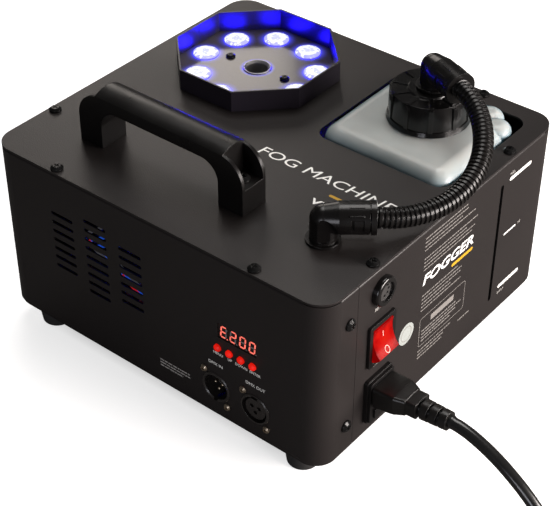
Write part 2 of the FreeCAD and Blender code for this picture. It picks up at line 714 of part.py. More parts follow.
def along(edge, r, count, ruled):
    """Round bar along a curve, drawn through circles square to it."""
    sections = []
    for k in range(count + 1):
        s = edge.FirstParameter + (edge.LastParameter - edge.FirstParameter) * k / count
        sections.append(Part.Wire(Part.makeCircle(r, edge.valueAt(s), edge.tangentAt(s))))
    return Part.makeLoft(sections, True, ruled)


def bent_path(points, r):
    """Straight runs joined by round bends of radius r."""
    ps = [V(*p) for p in points]
    edges, last = [], ps[0]
    for before, corner, after in zip(ps, ps[1:], ps[2:]):
        u, w = (corner - before).normalize(), (after - corner).normalize()
        half = u.getAngle(w) / 2
        enter, leave = corner - u * (r * math.tan(half)), corner + w * (r * math.tan(half))
        mid = corner + (w - u).normalize() * (r / math.cos(half) - r)
        edges += [Part.makeLine(last, enter), Part.Arc(enter, mid, leave).toShape()]
        last = leave
    return Part.Wire(edges + [Part.makeLine(last, ps[-1])])


def soft_tube(points, r):
    """Hollow tube pushed over a nipple at each end."""
    path = bent_path(points, r)
    start, ahead = V(*points[0]), V(*points[1]) - V(*points[0])
    pipes = [path.makePipe(Part.Face(Part.Wire(Part.makeCircle(radius, start, ahead))))
             for radius in (TUBE_R, NIPPLE_R + 0.05)]
    return pipes[0].cut(pipes[1])


def suction_tube():
    """From the hose gland across to the top of the pump."""
    gx, gy = GLAND_XY
    end = PUMP_Z[1] + 0.3
    level = end + 2.7 + BEND_TUBE_R
    return soft_tube([(gx, gy, LID_Z - 18.3), (gx, gy, level),
                      (PUMP_X, PUMP_Y, level), (PUMP_X, PUMP_Y, end)], BEND_TUBE_R)


def feed_tube():
    """From the bottom of the pump, along the floor and up to the heater's port."""
    x1 = HEATER_X[1] + 8.3
    riser_x, riser_y, low = x1 + 14, -8.0, SHELL_LOW + 10
    return soft_tube([(PUMP_X, PUMP_Y, PUMP_Z[0] - 0.3), (PUMP_X, PUMP_Y, low), (riser_x, riser_y, low),
                      (riser_x, riser_y, INLET_PORT_Z), (riser_x, INLET_PORT_Y, INLET_PORT_Z),
                      (x1 - 0.2, INLET_PORT_Y, INLET_PORT_Z)], 7.0)


# ---------------------------------------------------------------- electronics

def board_corners():
    inset = 6
    return [(x, y) for x in grown(BOARD_X, -inset) for y in grown(BOARD_Y, -inset)]


def main_board():
    board = box(BOARD_X, BOARD_Y, (BOARD_Z, BOARD_Z + BOARD_T))
    return cut(board, [cyl(1.7, 4, (x, y, BOARD_Z - 1)) for x, y in board_corners()])


def board_standoffs():
    posts = []
    for x, y in board_corners():
        low = SHELL_LOW + 0.02
        post = cyl(3.0, BOARD_Z - low - 0.02, (x, y, low)).fuse(cyl(1.6, BOARD_T + 3, (x, y, BOARD_Z - 1)))
        posts.append(post.fuse(cyl(2.8, 1.6, (x, y, BOARD_Z + BOARD_T + 0.02))).removeSplitter())
    return posts


def board_parts():
    """Transformer, relay, capacitors, terminal block and power switch heat sink on the main board."""
    z = BOARD_Z + BOARD_T + 0.02
    x0, y0 = BOARD_X[0], BOARD_Y[0]
    parts = [rounded((x0 + 12, x0 + 50), (y0 + 14, y0 + 48), (z, z + 29), 2),
             rounded((x0 + 58, x0 + 86), (y0 + 50, y0 + 66), (z, z + 19), 1),
             box((x0 + 70, x0 + 104), (y0 + 14, y0 + 24), (z, z + 12)),
             box((x0 + 12, x0 + 52), (y0 + 54, y0 + 57), (z, z + 26))]
    parts += [cyl(5.0, 16, (x0 + 60, y0 + 14 + 12 * k, z)) for k in range(3)]
    parts += [box((x0 + 70, x0 + 84), (y0 + 29, y0 + 36), (z, z + 3)),
              cyl(6.2, 10, (x0 + 96, y0 + 44, z))]
    return parts


def display_board():
    y0, y1 = DISPLAY_BOARD_Y
    board = box((44.0, 99.0), (y0, y1), (62.0, 98.0))
    keys = [box(about(x, 3.0), (y0 - 2.8, y0), about(BUTTON_Z, 3.0)) for x in BUTTON_X]
    return fuse([board] + keys)


def display_module():
    clear = 0.35
    x = (DISPLAY_X[0] + clear, DISPLAY_X[1] - clear)
    z = (DISPLAY_Z[0] + clear, DISPLAY_Z[1] - clear)
    return box(x, (FRONT_Y + 0.4, DISPLAY_BOARD_Y[0] - 0.02), z)


def button(x):
    """Domed key cap held behind the panel by a collar, with a stub that works its switch."""
    y = FRONT_Y - BUTTON_STAND
    behind = FRONT_Y + SHEET_T
    ball_r = (BUTTON_R ** 2 + BUTTON_DOME ** 2) / (2 * BUTTON_DOME)
    ball = Part.makeSphere(ball_r, V(x, y - BUTTON_DOME + ball_r, BUTTON_Z))
    stem = cyl(BUTTON_R, behind - y + 1.2, (x, y, BUTTON_Z), (0, 1, 0))
    dome = ball.common(cyl(BUTTON_R, BUTTON_DOME + 0.01, (x, y - BUTTON_DOME, BUTTON_Z), (0, 1, 0)))
    collar = cyl(BUTTON_R + 0.8, 0.8, (x, behind + 0.1, BUTTON_Z), (0, 1, 0))
    plunger = cyl(1.6, 1.4, (x, behind + 0.5, BUTTON_Z), (0, 1, 0))
    return fuse([dome, stem, collar, plunger])


# ---------------------------------------------------------------- data sockets

def xlr_shell(x):
    """Rear-mounted round data socket: flange behind the panel, barrel through it."""
    y = FRONT_Y + SHEET_T + 0.02
    flange = rounded_y(about(x, 13.0), (y, y + 2.0), about(XLR_Z, 15.5), 2.5)
    lip = FRONT_Y - XLR_STAND
    barrel = cyl(XLR_R - 0.15, y + 1 - lip - XLR_BEVEL, (x, lip + XLR_BEVEL, XLR_Z), (0, 1, 0)).fuse(
        cone(XLR_R - 0.15 - XLR_BEVEL, XLR_R - 0.15, XLR_BEVEL, (x, lip, XLR_Z), (0, 1, 0)))
    back = cyl(11.0, 20, (x, y + 1, XLR_Z), (0, 1, 0))
    body = fuse([flange, barrel, back])
    holes = []
    for s in (-1, 1):
        at = (x - s * XLR_SCREW[0], y - 1, XLR_Z + s * XLR_SCREW[1])
        holes.append(cyl(SMALL_SCREW[2] + FIT, 5, at, (0, 1, 0)))
    return cut(body, holes)


def rounded_y(x, y, z, r):
    """Prism along Y with rounded long corners."""
    shape = box(x, y, z)
    return shape.makeFillet(r, [e for e in shape.Edges if abs(e.tangentAt(e.FirstParameter).y) > 0.9])


def rounded_x(x, y, z, r):
    shape = box(x, y, z)
    return shape.makeFillet(r, [e for e in shape.Edges if abs(e.tangentAt(e.FirstParameter).x) > 0.9])


def pin_xz(cx):
    """Three contacts: a pair above and one below."""
    half = XLR_PIN_RING_R * math.cos(math.radians(38))
    return [(cx - half, XLR_Z + 1.5), (cx + half, XLR_Z + 1.5), (cx, XLR_Z - 3.2)]


def dmx_in_socket():
    x = XLR_X[0]
    lip = FRONT_Y - XLR_STAND
    well = cyl(XLR_WELL_R, 11 + XLR_STAND, (x, lip, XLR_Z), (0, 1, 0)).fuse(
        cone(XLR_WELL_R + XLR_BEVEL, XLR_WELL_R, XLR_BEVEL, (x, lip, XLR_Z), (0, 1, 0)))
    key = box(about(x, 1.6), (FRONT_Y - 1, FRONT_Y + 11), (XLR_Z - 11.2, XLR_Z - 8.0))
    holes = [cyl(XLR_PIN_R + FIT, 12, (px, FRONT_Y + 10, pz), (0, 1, 0)) for px, pz in pin_xz(x)]
    return cut(xlr_shell(x), [well, key] + holes)


def dmx_in_pins():
    pins, tip_y = [], FRONT_Y + 3.5
    for x, z in pin_xz(XLR_X[0]):
        pin = cyl(XLR_PIN_R, 17, (x, tip_y, z), (0, 1, 0)).fuse(Part.makeSphere(XLR_PIN_R, V(x, tip_y, z)))
        pins.append(pin.removeSplitter())
    return pins


def dmx_out_socket():
    x = XLR_X[1]
    groove = ring(9.9, 8.1, 8 + XLR_STAND, (x, FRONT_Y - XLR_STAND, XLR_Z), (0, 1, 0))
    recess = cyl(8.2, XLR_STAND + 0.4, (x, FRONT_Y - XLR_STAND, XLR_Z), (0, 1, 0))
    holes = [cyl(1.5, 10, (px, FRONT_Y - 1, pz), (0, 1, 0)) for px, pz in pin_xz(x)]
    latch = box(about(x, 2.4), (FRONT_Y - 1, FRONT_Y + 2), (XLR_Z + 7.4, XLR_Z + 11.0))
    return cut(xlr_shell(x), [groove, recess, latch] + holes)


def dmx_socket_screws():
    out = []
    for x in XLR_X:
        for s in (-1, 1):
            at = (x - s * XLR_SCREW[0], FRONT_Y, XLR_Z + s * XLR_SCREW[1])
            out.append(pan_screw(SMALL_SCREW, at, (0, -1, 0), 7))
    return out


# ---------------------------------------------------------------- right side fittings

def remote_socket():
    """Round five-contact socket with a domed bezel outside the panel."""
    at = (BACK_X + 0.02, SIDE_Y, REMOTE_Z)
    bezel = cyl(REMOTE_R, 4.4, at, (1, 0, 0))
    rim = [e for e in bezel.Edges if abs(e.CenterOfMass.x - at[0] - 4.4) < 1e-6 and e.Length > 30]
    bezel = bezel.makeFillet(1.6, rim)
    bezel = bezel.cut(cyl(REMOTE_R - 3.4, 2.4, (at[0] + 2.2, SIDE_Y, REMOTE_Z), (1, 0, 0)))
    body = cyl(REMOTE_BODY_R, 16, (BACK_X - 14, SIDE_Y, REMOTE_Z), (1, 0, 0))
    socket = fuse([bezel, body])
    holes = []
    for k in range(5):
        a = math.radians(90 + 45 * (k - 2))
        at = (BACK_X - 3, SIDE_Y + REMOTE_RING_R * math.sin(a), REMOTE_Z + REMOTE_RING_R * math.cos(a))
        holes.append(cyl(1.0, 8, at, (1, 0, 0)))
    key = box((BACK_X + 1.5, BACK_X + 6), about(SIDE_Y, 1.2), (REMOTE_Z + 5.6, REMOTE_Z + 7.5))
    return cut(socket, holes + [key])


def rocker_bezel():
    frame = rounded_x((BACK_X + 0.02, BACK_X + 2.2), about(ROCKER_Y, 13.6), about(ROCKER_Z, 16.6), 1.2)
    body = box((BACK_X - 22, BACK_X + 1), about(ROCKER_Y, ROCKER_BODY[0]), about(ROCKER_Z, ROCKER_BODY[1]))
    well = box((BACK_X - 18, BACK_X + 4), about(ROCKER_Y, ROCKER_HALF_Y + 0.2),
               about(ROCKER_Z, ROCKER_R + 0.3))
    lugs = [box((BACK_X - 31, BACK_X - 21), about(ROCKER_Y + 5 * s, 0.4), about(ROCKER_Z + 6 * r, 3.1))
            for s in (-1, 1) for r in (-1, 1)]
    return fuse([frame, body] + lugs).cut(well)


def power_rocker():
    """Rocker with a dished face and ends rounded about its pin; top pressed in (on) at rest."""
    x, z = ROCKER_PIVOT_X, ROCKER_Z
    y0 = ROCKER_Y - ROCKER_HALF_Y
    tip, heel, dish = 52.0, 118.0, 5.6

    def rim(angle):
        a = math.radians(angle)
        return V(x + ROCKER_R * math.cos(a), y0, z + ROCKER_R * math.sin(a))

    edges = [Part.Arc(rim(tip), V(x + dish, y0, z), rim(-tip)).toShape(),
             Part.Arc(rim(-tip), rim(-(tip + heel) / 2), rim(-heel)).toShape(),
             Part.makeLine(rim(-heel), rim(heel)),
             Part.Arc(rim(heel), rim((tip + heel) / 2), rim(tip)).toShape()]
    body = Part.Face(Part.Wire(edges)).extrude(V(0, 2 * ROCKER_HALF_Y, 0))
    return turned(body, (x, 0, z), (0, 1, 0), -ROCKER_TILT)


def power_inlet():
    """Stepped mains inlet with the plug's well above and the fuse drawer's slot below."""
    base = rounded_x((BACK_X + 0.02, BACK_X + 2.8), about(SIDE_Y, 13.5), about(INLET_Z, 17.75), 2.0)
    step = rounded_x((BACK_X + 2, INLET_FACE_X), about(SIDE_Y, 12.6), about(INLET_Z, 16.6), 1.6)
    body = box((BACK_X - 24, BACK_X + 1), about(SIDE_Y, INLET_BODY[0]), about(INLET_Z, INLET_BODY[1]))
    lugs = [box((BACK_X - 33, BACK_X - 23), about(SIDE_Y + 7 * s, 3.1), about(SOCKET_Z, 0.4))
            for s in (-1, 1)]
    shape = fuse([base, step, body] + lugs)
    well = rounded_x((BACK_X - 12, INLET_FACE_X + 1), about(SIDE_Y, PLUG_HALF[0] + 0.25),
                     about(SOCKET_Z, PLUG_HALF[1] + 0.25), 2.0)
    drawer = box((BACK_X - 20, INLET_FACE_X + 1), about(SIDE_Y, FUSE_HALF[0] + 0.1),
                 about(FUSE_Z, FUSE_HALF[1] + 0.1))
    holes = [box((BACK_X - 20, BACK_X - 11), about(SIDE_Y + dy, 1.05), about(SOCKET_Z + dz, 2.05))
             for dy, dz in PIN_YZ]
    return cut(shape, [well, drawer] + holes)


def inlet_pins():
    return [box((BACK_X - 19.9, BACK_X + 1.5), about(SIDE_Y + dy, 1.0), about(SOCKET_Z + dz, 2.0))
            for dy, dz in PIN_YZ]


def fuse_drawer():
    body = box((BACK_X - 19.5, INLET_FACE_X + 0.2), about(SIDE_Y, FUSE_HALF[0]), about(FUSE_Z, FUSE_HALF[1]))
    lip = box((INLET_FACE_X + 0.05, INLET_FACE_X + 1.2), about(SIDE_Y, FUSE_HALF[0] + 0.9),
              (FUSE_Z - FUSE_HALF[1] - 0.6, FUSE_Z + FUSE_HALF[1] + 0.6))
    grip = box((INLET_FACE_X + 0.4, INLET_FACE_X + 2), about(SIDE_Y, 3.0), (FUSE_Z - 0.4, FUSE_Z + 4))
    bed = cyl(2.62, 21, (BACK_X - 18.5, SIDE_Y, FUSE_Z + 0.2), (1, 0, 0)).fuse(
        box((BACK_X - 18.5, BACK_X + 2.5), about(SIDE_Y, 2.62), (FUSE_Z + 0.2, FUSE_Z + 4)))
    return cut(fuse([body, lip]), [grip, bed])


def glass_fuse():
    at = (BACK_X - 18.2, SIDE_Y, FUSE_Z + 0.2)
    return cyl(2.3, 20, at, (1, 0, 0)).fuse(
        [cyl(2.55, 5, at, (1, 0, 0)), cyl(2.55, 5, (at[0] + 15, at[1], at[2]), (1, 0, 0))]).removeSplitter()


def slab(x0, half0, z0, x1, half1, z1):
    """Tapering block along X with rounded long edges, from one half size and height to another."""
    ends = [Part.makePolygon([V(x, SIDE_Y + a * half[0], z + b * half[1]) for a, b in RECT])
            for x, half, z in ((x0, half0, z0), (x1, half1, z1))]
    block = Part.makeLoft(ends, True, True)
    return block.makeFillet(2.2, [e for e in block.Edges if abs(e.tangentAt(e.FirstParameter).x) > 0.5])


def power_plug():
    """Moulded coupler: nose in the inlet, tapering body, collar and a ringed strain relief."""
    x0 = INLET_FACE_X + PLUG_GAP
    y, z = SIDE_Y, SOCKET_Z
    x1 = x0 + PLUG_BODY_LEN
    grip_x, high = x0 + PLUG_GRIP_LEN, z + PLUG_RISE
    body = fuse([slab(x0, PLUG_BIG, z, grip_x, PLUG_MID, high),
                 slab(grip_x, PLUG_MID, high, x1, PLUG_SMALL, high)])
    collar = rounded_x((x1 - 1, x1 + 7.5), about(y, 8.2), about(high, 5.8), 2.4)
    core = cyl(4.7, 22, (x1 + 6, y, z), (1, 0, 0))
    rings = [cone(7.1 - 0.25 * k, 6.9 - 0.25 * k, 4.9, (x1 + 9.6 + RELIEF_PITCH * k, y, z), (1, 0, 0))
             for k in range(RELIEF_RINGS)]
    bore = cyl(CORD_R + 0.05, 14, (x1 + 18, y, z), (1, 0, 0))
    outer = fuse([body, collar, core] + rings).cut(bore)
    outer = turned(outer, (x0, y, z), (0, 1, 0), -PLUG_TILT)
    nose = rounded_x((BACK_X - 11.5, x0 + 2), about(y, PLUG_HALF[0]), about(z, PLUG_HALF[1]), 1.8)
    pins = [box((BACK_X - 12, BACK_X + 2.5), about(y + dy, 1.15), about(z + dz, 2.15)) for dy, dz in PIN_YZ]
    return cut(fuse([nose, outer]), pins)


def power_cord():
    """Short run of cord from the plug down to the floor."""
    x0 = INLET_FACE_X + PLUG_GAP
    start = PLUG_BODY_LEN + 18.2
    tilt = math.radians(PLUG_TILT)
    a = V(x0 + start * math.cos(tilt), SIDE_Y, SOCKET_Z + start * math.sin(tilt))
    d = V(math.cos(tilt), 0, math.sin(tilt))
    b = a + d * 10
    floor = CORD_R + 0.2
    points = [b, (a.x + 33, SIDE_Y - 1, SOCKET_Z - 0.6), (a.x + 60, SIDE_Y - 4, SOCKET_Z - 11.2),
              (a.x + 87, SIDE_Y - 6, 19.0), (a.x + 116, SIDE_Y - 8, floor)]
    drop = along(through(points, d, (1, -0.05, 0)), CORD_R, 40, False)
    return fuse([cyl(CORD_R, 10, a, d), drop])


# ---------------------------------------------------------------- elbows and hose

def elbow(x, y, z_low, z_axis, turn, reach):
    """Quick-release conduit elbow: round stem, barrel along X before it is turned."""
    h = z_axis - z_low
    stem = cyl(STEM_R, h, (0, 0, 0))
    collar = cyl(STEM_R + 2.4, 1.6, (0, 0, 0))
    body_len = reach - 4.1
    flare = 9.0
    barrel = cyl(ELBOW_R, body_len - flare, (flare, 0, h), (1, 0, 0)).fuse(
        cone(STEM_R, ELBOW_R, flare, (0, 0, h), (1, 0, 0)))
    knee = Part.makeSphere(STEM_R, V(0, 0, h))
    end = cyl(ELBOW_R + 0.3, 3.5, (reach - 3.5, 0, h), (1, 0, 0))
    link = cyl(ELBOW_R - 1.6, 3, (body_len - 1, 0, h), (1, 0, 0))
    shape = fuse([stem, collar, knee, barrel, end, link])
    cuts = [cyl(HOSE_CREST_R + 0.1, 12, (reach - 11, 0, h), (1, 0, 0))]
    for s in (-1, 1):
        deep = sorted((s * (ELBOW_R - 1.1), s * (ELBOW_R + 2)))
        cuts.append(box((body_len - 11.5, body_len - 3.6), deep, (h - 4.8, h + 4.8)))
        cuts.append(cyl(8.5, 4, (-0.5, s * 7.9, h - 5.0), (0, s, 0)))
    shape = cut(shape, cuts)
    latches = []
    for s in (-1, 1):
        wide = sorted((s * (ELBOW_R - 2), s * (ELBOW_R + 1)))
        latch = cyl(ELBOW_R - 0.4, 5.6, (body_len - 9.6, 0, h), (1, 0, 0))
        latches.append(latch.common(box((body_len - 11, body_len - 3.8), wide, (h - 4.0, h + 4.0))))
    ribs = []
    for angle in (38, 70):
        for s in (-1, 1):
            a = math.radians(90 - angle)
            rib = box((body_len - 12.5, body_len - 3.4), (-0.45, 0.45), (ELBOW_R - 0.5, ELBOW_R + 0.35))
            rib = turned(rib, (0, 0, 0), (1, 0, 0), s * math.degrees(a))
            ribs.append(moved(rib, 0, 0, h))
    shape = fuse([shape] + latches + ribs)
    shape = turned(shape, (0, 0, 0), (0, 0, 1), turn)
    return moved(shape, x, y, z_low)


def gland_elbow():
    x, y = GLAND_XY
    shape = elbow(x, y, LID_Z + 0.02, GLAND_AXIS_Z, GLAND_TURN, GLAND_REACH)
    thread = cyl(THREAD_R, 20, (x, y, LID_Z - 18))
    nipple = cyl(NIPPLE_R, 4, (x, y, LID_Z - 21.6))
    shape = fuse([shape, thread, nipple])
    return shape.cut(cyl(1.4, 30, (x, y, LID_Z - 22)))


def gland_nut():
    x, y = GLAND_XY
    z0 = SHELL_HIGH - 5.05
    pts = [(x + 12.5 * math.cos(math.radians(60 * k)), y + 12.5 * math.sin(math.radians(60 * k)), z0)
           for k in range(6)]
    return prism(pts, (0, 0, 5)).cut(cyl(THREAD_R + FIT, 7, (x, y, z0 - 1)))


def cap_elbow():
    x, y = CAP_XY
    low = CAP_TOP + 2.2
    shape = elbow(*CAP_ELBOW_XY, low, CAP_ELBOW_Z, CAP_ELBOW_TURN, CAP_ELBOW_REACH)
    spigot = cyl(CAP_HOLE_R - 0.15, 12, (x, y, low - 10)).fuse(cyl(CAP_HOLE_R + 1.6, 2, (x, y, low - 10)))
    shape = fuse([shape, spigot])
    return shape.cut(cyl(DIP_R + FIT, 16, (x, y, low - 11)))


def elbow_mouth(x, y, z, turn, reach):
    a = math.radians(turn)
    return V(x + reach * math.cos(a), y + reach * math.sin(a), z), V(math.cos(a), math.sin(a), 0)


def corrugated_hose():
    """Ringed conduit, straight inside both elbows, as a chain of crests and valleys along a curve."""
    tuck = 9.0
    a, da = elbow_mouth(*CAP_ELBOW_XY, CAP_ELBOW_Z, CAP_ELBOW_TURN, CAP_ELBOW_REACH + 0.5)
    b, db = elbow_mouth(*GLAND_XY, GLAND_AXIS_Z, GLAND_TURN, GLAND_REACH + 0.5)
    bend = bezier([a, a + da * 8, a + V(*HOSE_PULL_A), b + V(*HOSE_PULL_B), b + db * 8, b])
    runs = [Part.makeLine(a - da * tuck, a), bend, Part.makeLine(b, b - db * tuck)]
    length = sum(e.Length for e in runs)
    rings = int(length / HOSE_PITCH)
    sections = []
    for k in range(rings):
        for part, r in ((0.0, HOSE_VALLEY_R), (0.32, HOSE_VALLEY_R),
                        (0.44, HOSE_CREST_R), (0.88, HOSE_CREST_R)):
            sections.append(circle_on(runs, (k + part) * length / rings, r))
    sections.append(circle_on(runs, length, HOSE_VALLEY_R))
    return Part.makeLoft(sections, True, True)


def circle_on(runs, at, r):
    """Circle square to a chain of edges, a given way along it."""
    for e in runs[:-1]:
        if at <= e.Length:
            break
        at -= e.Length
    else:
        e = runs[-1]
    s = e.getParameterByLength(min(at, e.Length))
    return Part.Wire(Part.makeCircle(r, e.valueAt(s), e.tangentAt(s)))


# ---------------------------------------------------------------- tank

def filleted_top(shape, z, r):
    edges = [e for e in shape.Edges if abs(e.BoundBox.ZMin - z) < 1e-4 and abs(e.BoundBox.ZMax - z) < 1e-4]
    return shape.makeFillet(r, edges)


def tank_hull(inset):
    """Blow-moulded bottle outline with a stepped grip at the rear right corner."""
    x = (TANK_X[0] + inset, TANK_X[1] - inset)
    y = (TANK_Y[0] + inset, TANK_Y[1] - inset)
    z = (TANK_FLOOR + inset, LID_Z + TANK_RISE - inset)
    body = rounded(x, y, z, 12 - inset)
    chamfer = prism([(x[1] - 30, y[1] + 1, z[0] - 1), (x[1] + 1, y[1] + 1, z[0] - 1),
                     (x[1] + 1, y[1] - 31, z[0] - 1)], (0, 0, z[1] - z[0] + 2))
    body = body.cut(chamfer)
    body = filleted_top(body, z[1], 11 - inset)
    lobes = []
    for cx, cy in LOBES:
        lobe = cyl(LOBE_R - inset, z[1] - z[0] - 0.6, (cx, cy, z[0]))
        lobes.append(filleted_top(lobe, z[1] - 0.6, (LOBE_R - inset) * 0.7))
    return fuse([body] + lobes)


def fluid_tank():
    x, y = CAP_XY
    top = LID_Z + TANK_RISE
    hull = fuse([tank_hull(0), cyl(NECK_R, 20, (x, y, top - 2)), cyl(NECK_R + 3, 1.2, (x, y, top - 0.6))])
    cavity = fuse([tank_hull(TANK_WALL), cyl(NECK_R - 2.4, 30, (x, y, top - 8))])
    threads = [ring(NECK_R + 0.9, NECK_R - 0.5, 1.4, (x, y, top + 5 + 4.6 * k)) for k in range(3)]
    return fuse([hull.cut(cavity)] + threads)


def tank_cap():
    x, y = CAP_XY
    h = CAP_TOP - CAP_LOW
    wall = cone(CAP_R + 0.4, CAP_R - 0.6, h, (x, y, CAP_LOW))
    skirt = cone(CAP_FLANGE_R, CAP_R + 0.9, 3.2, (x, y, CAP_LOW))
    boss = cone(15.5, 14.6, 1.5, (x, y, CAP_TOP - 0.1))
    ribs = []
    for k in range(RIB_COUNT):
        side = box((CAP_R - 2, CAP_R + 0.9), (-1.6, 1.6), (0.5, h - 1.2))
        top = box((15, CAP_R - 1.6), (-1.6, 1.6), (h - 1, h + 0.7))
        rib = moved(side.fuse(top), x, y, CAP_LOW)
        ribs.append(turned(rib, (x, y, 0), (0, 0, 1), 360.0 / RIB_COUNT * (k + 0.5)))
    cap = fuse([wall, skirt, boss] + ribs)
    hollow = cyl(NECK_R + 1.2, h - 2.4, (x, y, CAP_LOW - 0.01))
    return cap.cut(hollow).cut(cyl(CAP_HOLE_R, 10, (x, y, CAP_TOP - 5)))


def dip_tube():
    x, y = CAP_XY
    low = TANK_FLOOR + TANK_WALL + 3
    return ring(DIP_R, 2.1, 176 - low, (x, y, low))


def tank_bay():
    """Sheet tray that the bottle drops into, with a window beside the level slot."""
    x = (CUT_X[0] - BAY_T + 0.4, CUT_X[1] + BAY_T)
    y = (CUT_Y[0] - BAY_T, CUT_Y[1] + BAY_T + 0.4)
    z = (SHELL_LOW + SHEET_T + 0.05, BAY_TOP)
    outer = rounded(x, y, z, 7)
    inner = rounded(grown(x, -BAY_T), grown(y, -BAY_T), (z[0] + BAY_T, z[1] + 1), 6)
    window = box((x[1] - 3, x[1] + 1), about(SLOT_Y, 8), (SLOT_Z[0] - 2, z[1] + 1))
    return outer.cut(inner).cut(window)


# ---------------------------------------------------------------- wiring

def wire(points):
    start, ahead = V(*points[0]), V(*points[1]) - V(*points[0])
    return bent_path(points, 5.0).makePipe(Part.Face(Part.Wire(Part.makeCircle(WIRE_R, start, ahead))))


def wiring_loom():
    """Insulated wires from the main board to the display, the switch and the heater."""
    z = BOARD_Z + BOARD_T + 13.0
    x0, y0 = BOARD_X[0], BOARD_Y[0]
    wires = []
    for k in range(3):
        x = x0 + 74 + 8 * k
        wires.append(wire([(x, y0 + 17, z), (x - 4 - 10 * k, y0 + 2, z + 30 + 4 * k),
                            (x - 26 - 6 * k, FRONT_Y + 8 + 2 * k, VENT_Z + 6 - 5 * k),
                            (x - 6, FRONT_Y + 14, VENT_Z + 20 - 4 * k),
                            (43.0, FRONT_Y + 20 + 3 * k, VENT_Z + 2 - 6 * k)]))
    for k in range(2):
        y = y0 + 60 + 5 * k
        low = SHELL_LOW + 9 + 4 * k
        wires.append(wire([(-2.0, y, BOARD_Z + 8 + 4 * k), (16.0, y - 8, low), (84.0, -78 + 4 * k, low),
                            (103.0, SIDE_Y + 6 * k - 3, SOCKET_Z - 5 + 5 * k)]))
    return wires


def build():
    pieces = (front_shell, rear_shell, base_plate, top_plate, top_plate_screws, seam_screws, rubber_feet,
              foot_screws, carry_handle, handle_screws, led_shroud, led_plate, led_plate_screws,
              led_lenses, led_board, led_emitters, nozzle, heater_block, heater_element,
              heater_insulation, heater_bracket, thermal_cutout, pump_body, pump_plunger, pump_spring,
              pump_coil, pump_frame, suction_tube, feed_tube, main_board, board_parts, board_standoffs,
              display_board, display_module, dmx_in_socket, dmx_in_pins, dmx_out_socket,
              dmx_socket_screws, remote_socket, rocker_bezel, power_rocker, power_inlet, inlet_pins,
              fuse_drawer, glass_fuse, power_plug, power_cord, gland_elbow, gland_nut, cap_elbow,
              corrugated_hose, fluid_tank, tank_cap, dip_tube, tank_bay, wiring_loom)
    for make in pieces:
        save(make.__name__, make())
    for name, x in zip(BUTTON_NAMES, BUTTON_X):
        save(name + "_button", button(x))


build()
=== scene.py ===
import json
import math
import random

import bmesh
import bpy
from mathutils import Matrix, Vector

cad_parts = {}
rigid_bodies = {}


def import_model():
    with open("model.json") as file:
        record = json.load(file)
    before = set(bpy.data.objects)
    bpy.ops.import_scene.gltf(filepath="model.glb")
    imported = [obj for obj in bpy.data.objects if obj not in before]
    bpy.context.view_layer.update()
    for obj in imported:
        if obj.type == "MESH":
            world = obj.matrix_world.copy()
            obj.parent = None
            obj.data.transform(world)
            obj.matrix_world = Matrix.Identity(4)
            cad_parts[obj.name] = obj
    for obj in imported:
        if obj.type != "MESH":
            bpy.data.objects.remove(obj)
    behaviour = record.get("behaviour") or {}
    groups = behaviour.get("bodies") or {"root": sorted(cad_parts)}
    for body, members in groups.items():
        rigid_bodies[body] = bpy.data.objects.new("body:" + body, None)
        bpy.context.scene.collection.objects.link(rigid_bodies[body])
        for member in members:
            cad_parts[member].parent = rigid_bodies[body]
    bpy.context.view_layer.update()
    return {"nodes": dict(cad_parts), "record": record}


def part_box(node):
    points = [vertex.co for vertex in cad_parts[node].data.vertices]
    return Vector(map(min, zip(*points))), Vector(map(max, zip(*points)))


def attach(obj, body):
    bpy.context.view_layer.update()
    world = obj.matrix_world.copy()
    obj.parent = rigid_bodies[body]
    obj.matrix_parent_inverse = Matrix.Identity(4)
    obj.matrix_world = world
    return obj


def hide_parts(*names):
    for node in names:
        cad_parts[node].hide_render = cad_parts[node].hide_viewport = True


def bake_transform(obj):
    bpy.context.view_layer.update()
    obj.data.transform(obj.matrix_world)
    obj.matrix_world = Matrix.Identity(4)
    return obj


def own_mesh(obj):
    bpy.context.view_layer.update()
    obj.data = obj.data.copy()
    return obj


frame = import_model()
NODES = frame["nodes"]
MM = 0.001

# Where things are, read from the frame
LID_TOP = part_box("top_plate")[1].z
SHELL_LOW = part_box("front_shell")[0].z
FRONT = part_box("front_shell")[0].y
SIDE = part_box("rear_shell")[1].x
LENS_MID = (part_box("led_shroud")[0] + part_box("led_shroud")[1]) / 2
LENS_COUNT = 9
LENS_START = math.radians(30)
LENS_RING = 43 * MM
LENS_R = 9.2 * MM
LENS_THROW = 36.0  # how much brighter a lens is to everything but the camera
PRINT_T = 0.04 * MM
PRINT_GAP = 0.02 * MM
CAP_SHARE = 0.70  # capital height over the font size


# ---------------------------------------------------------------- node helpers

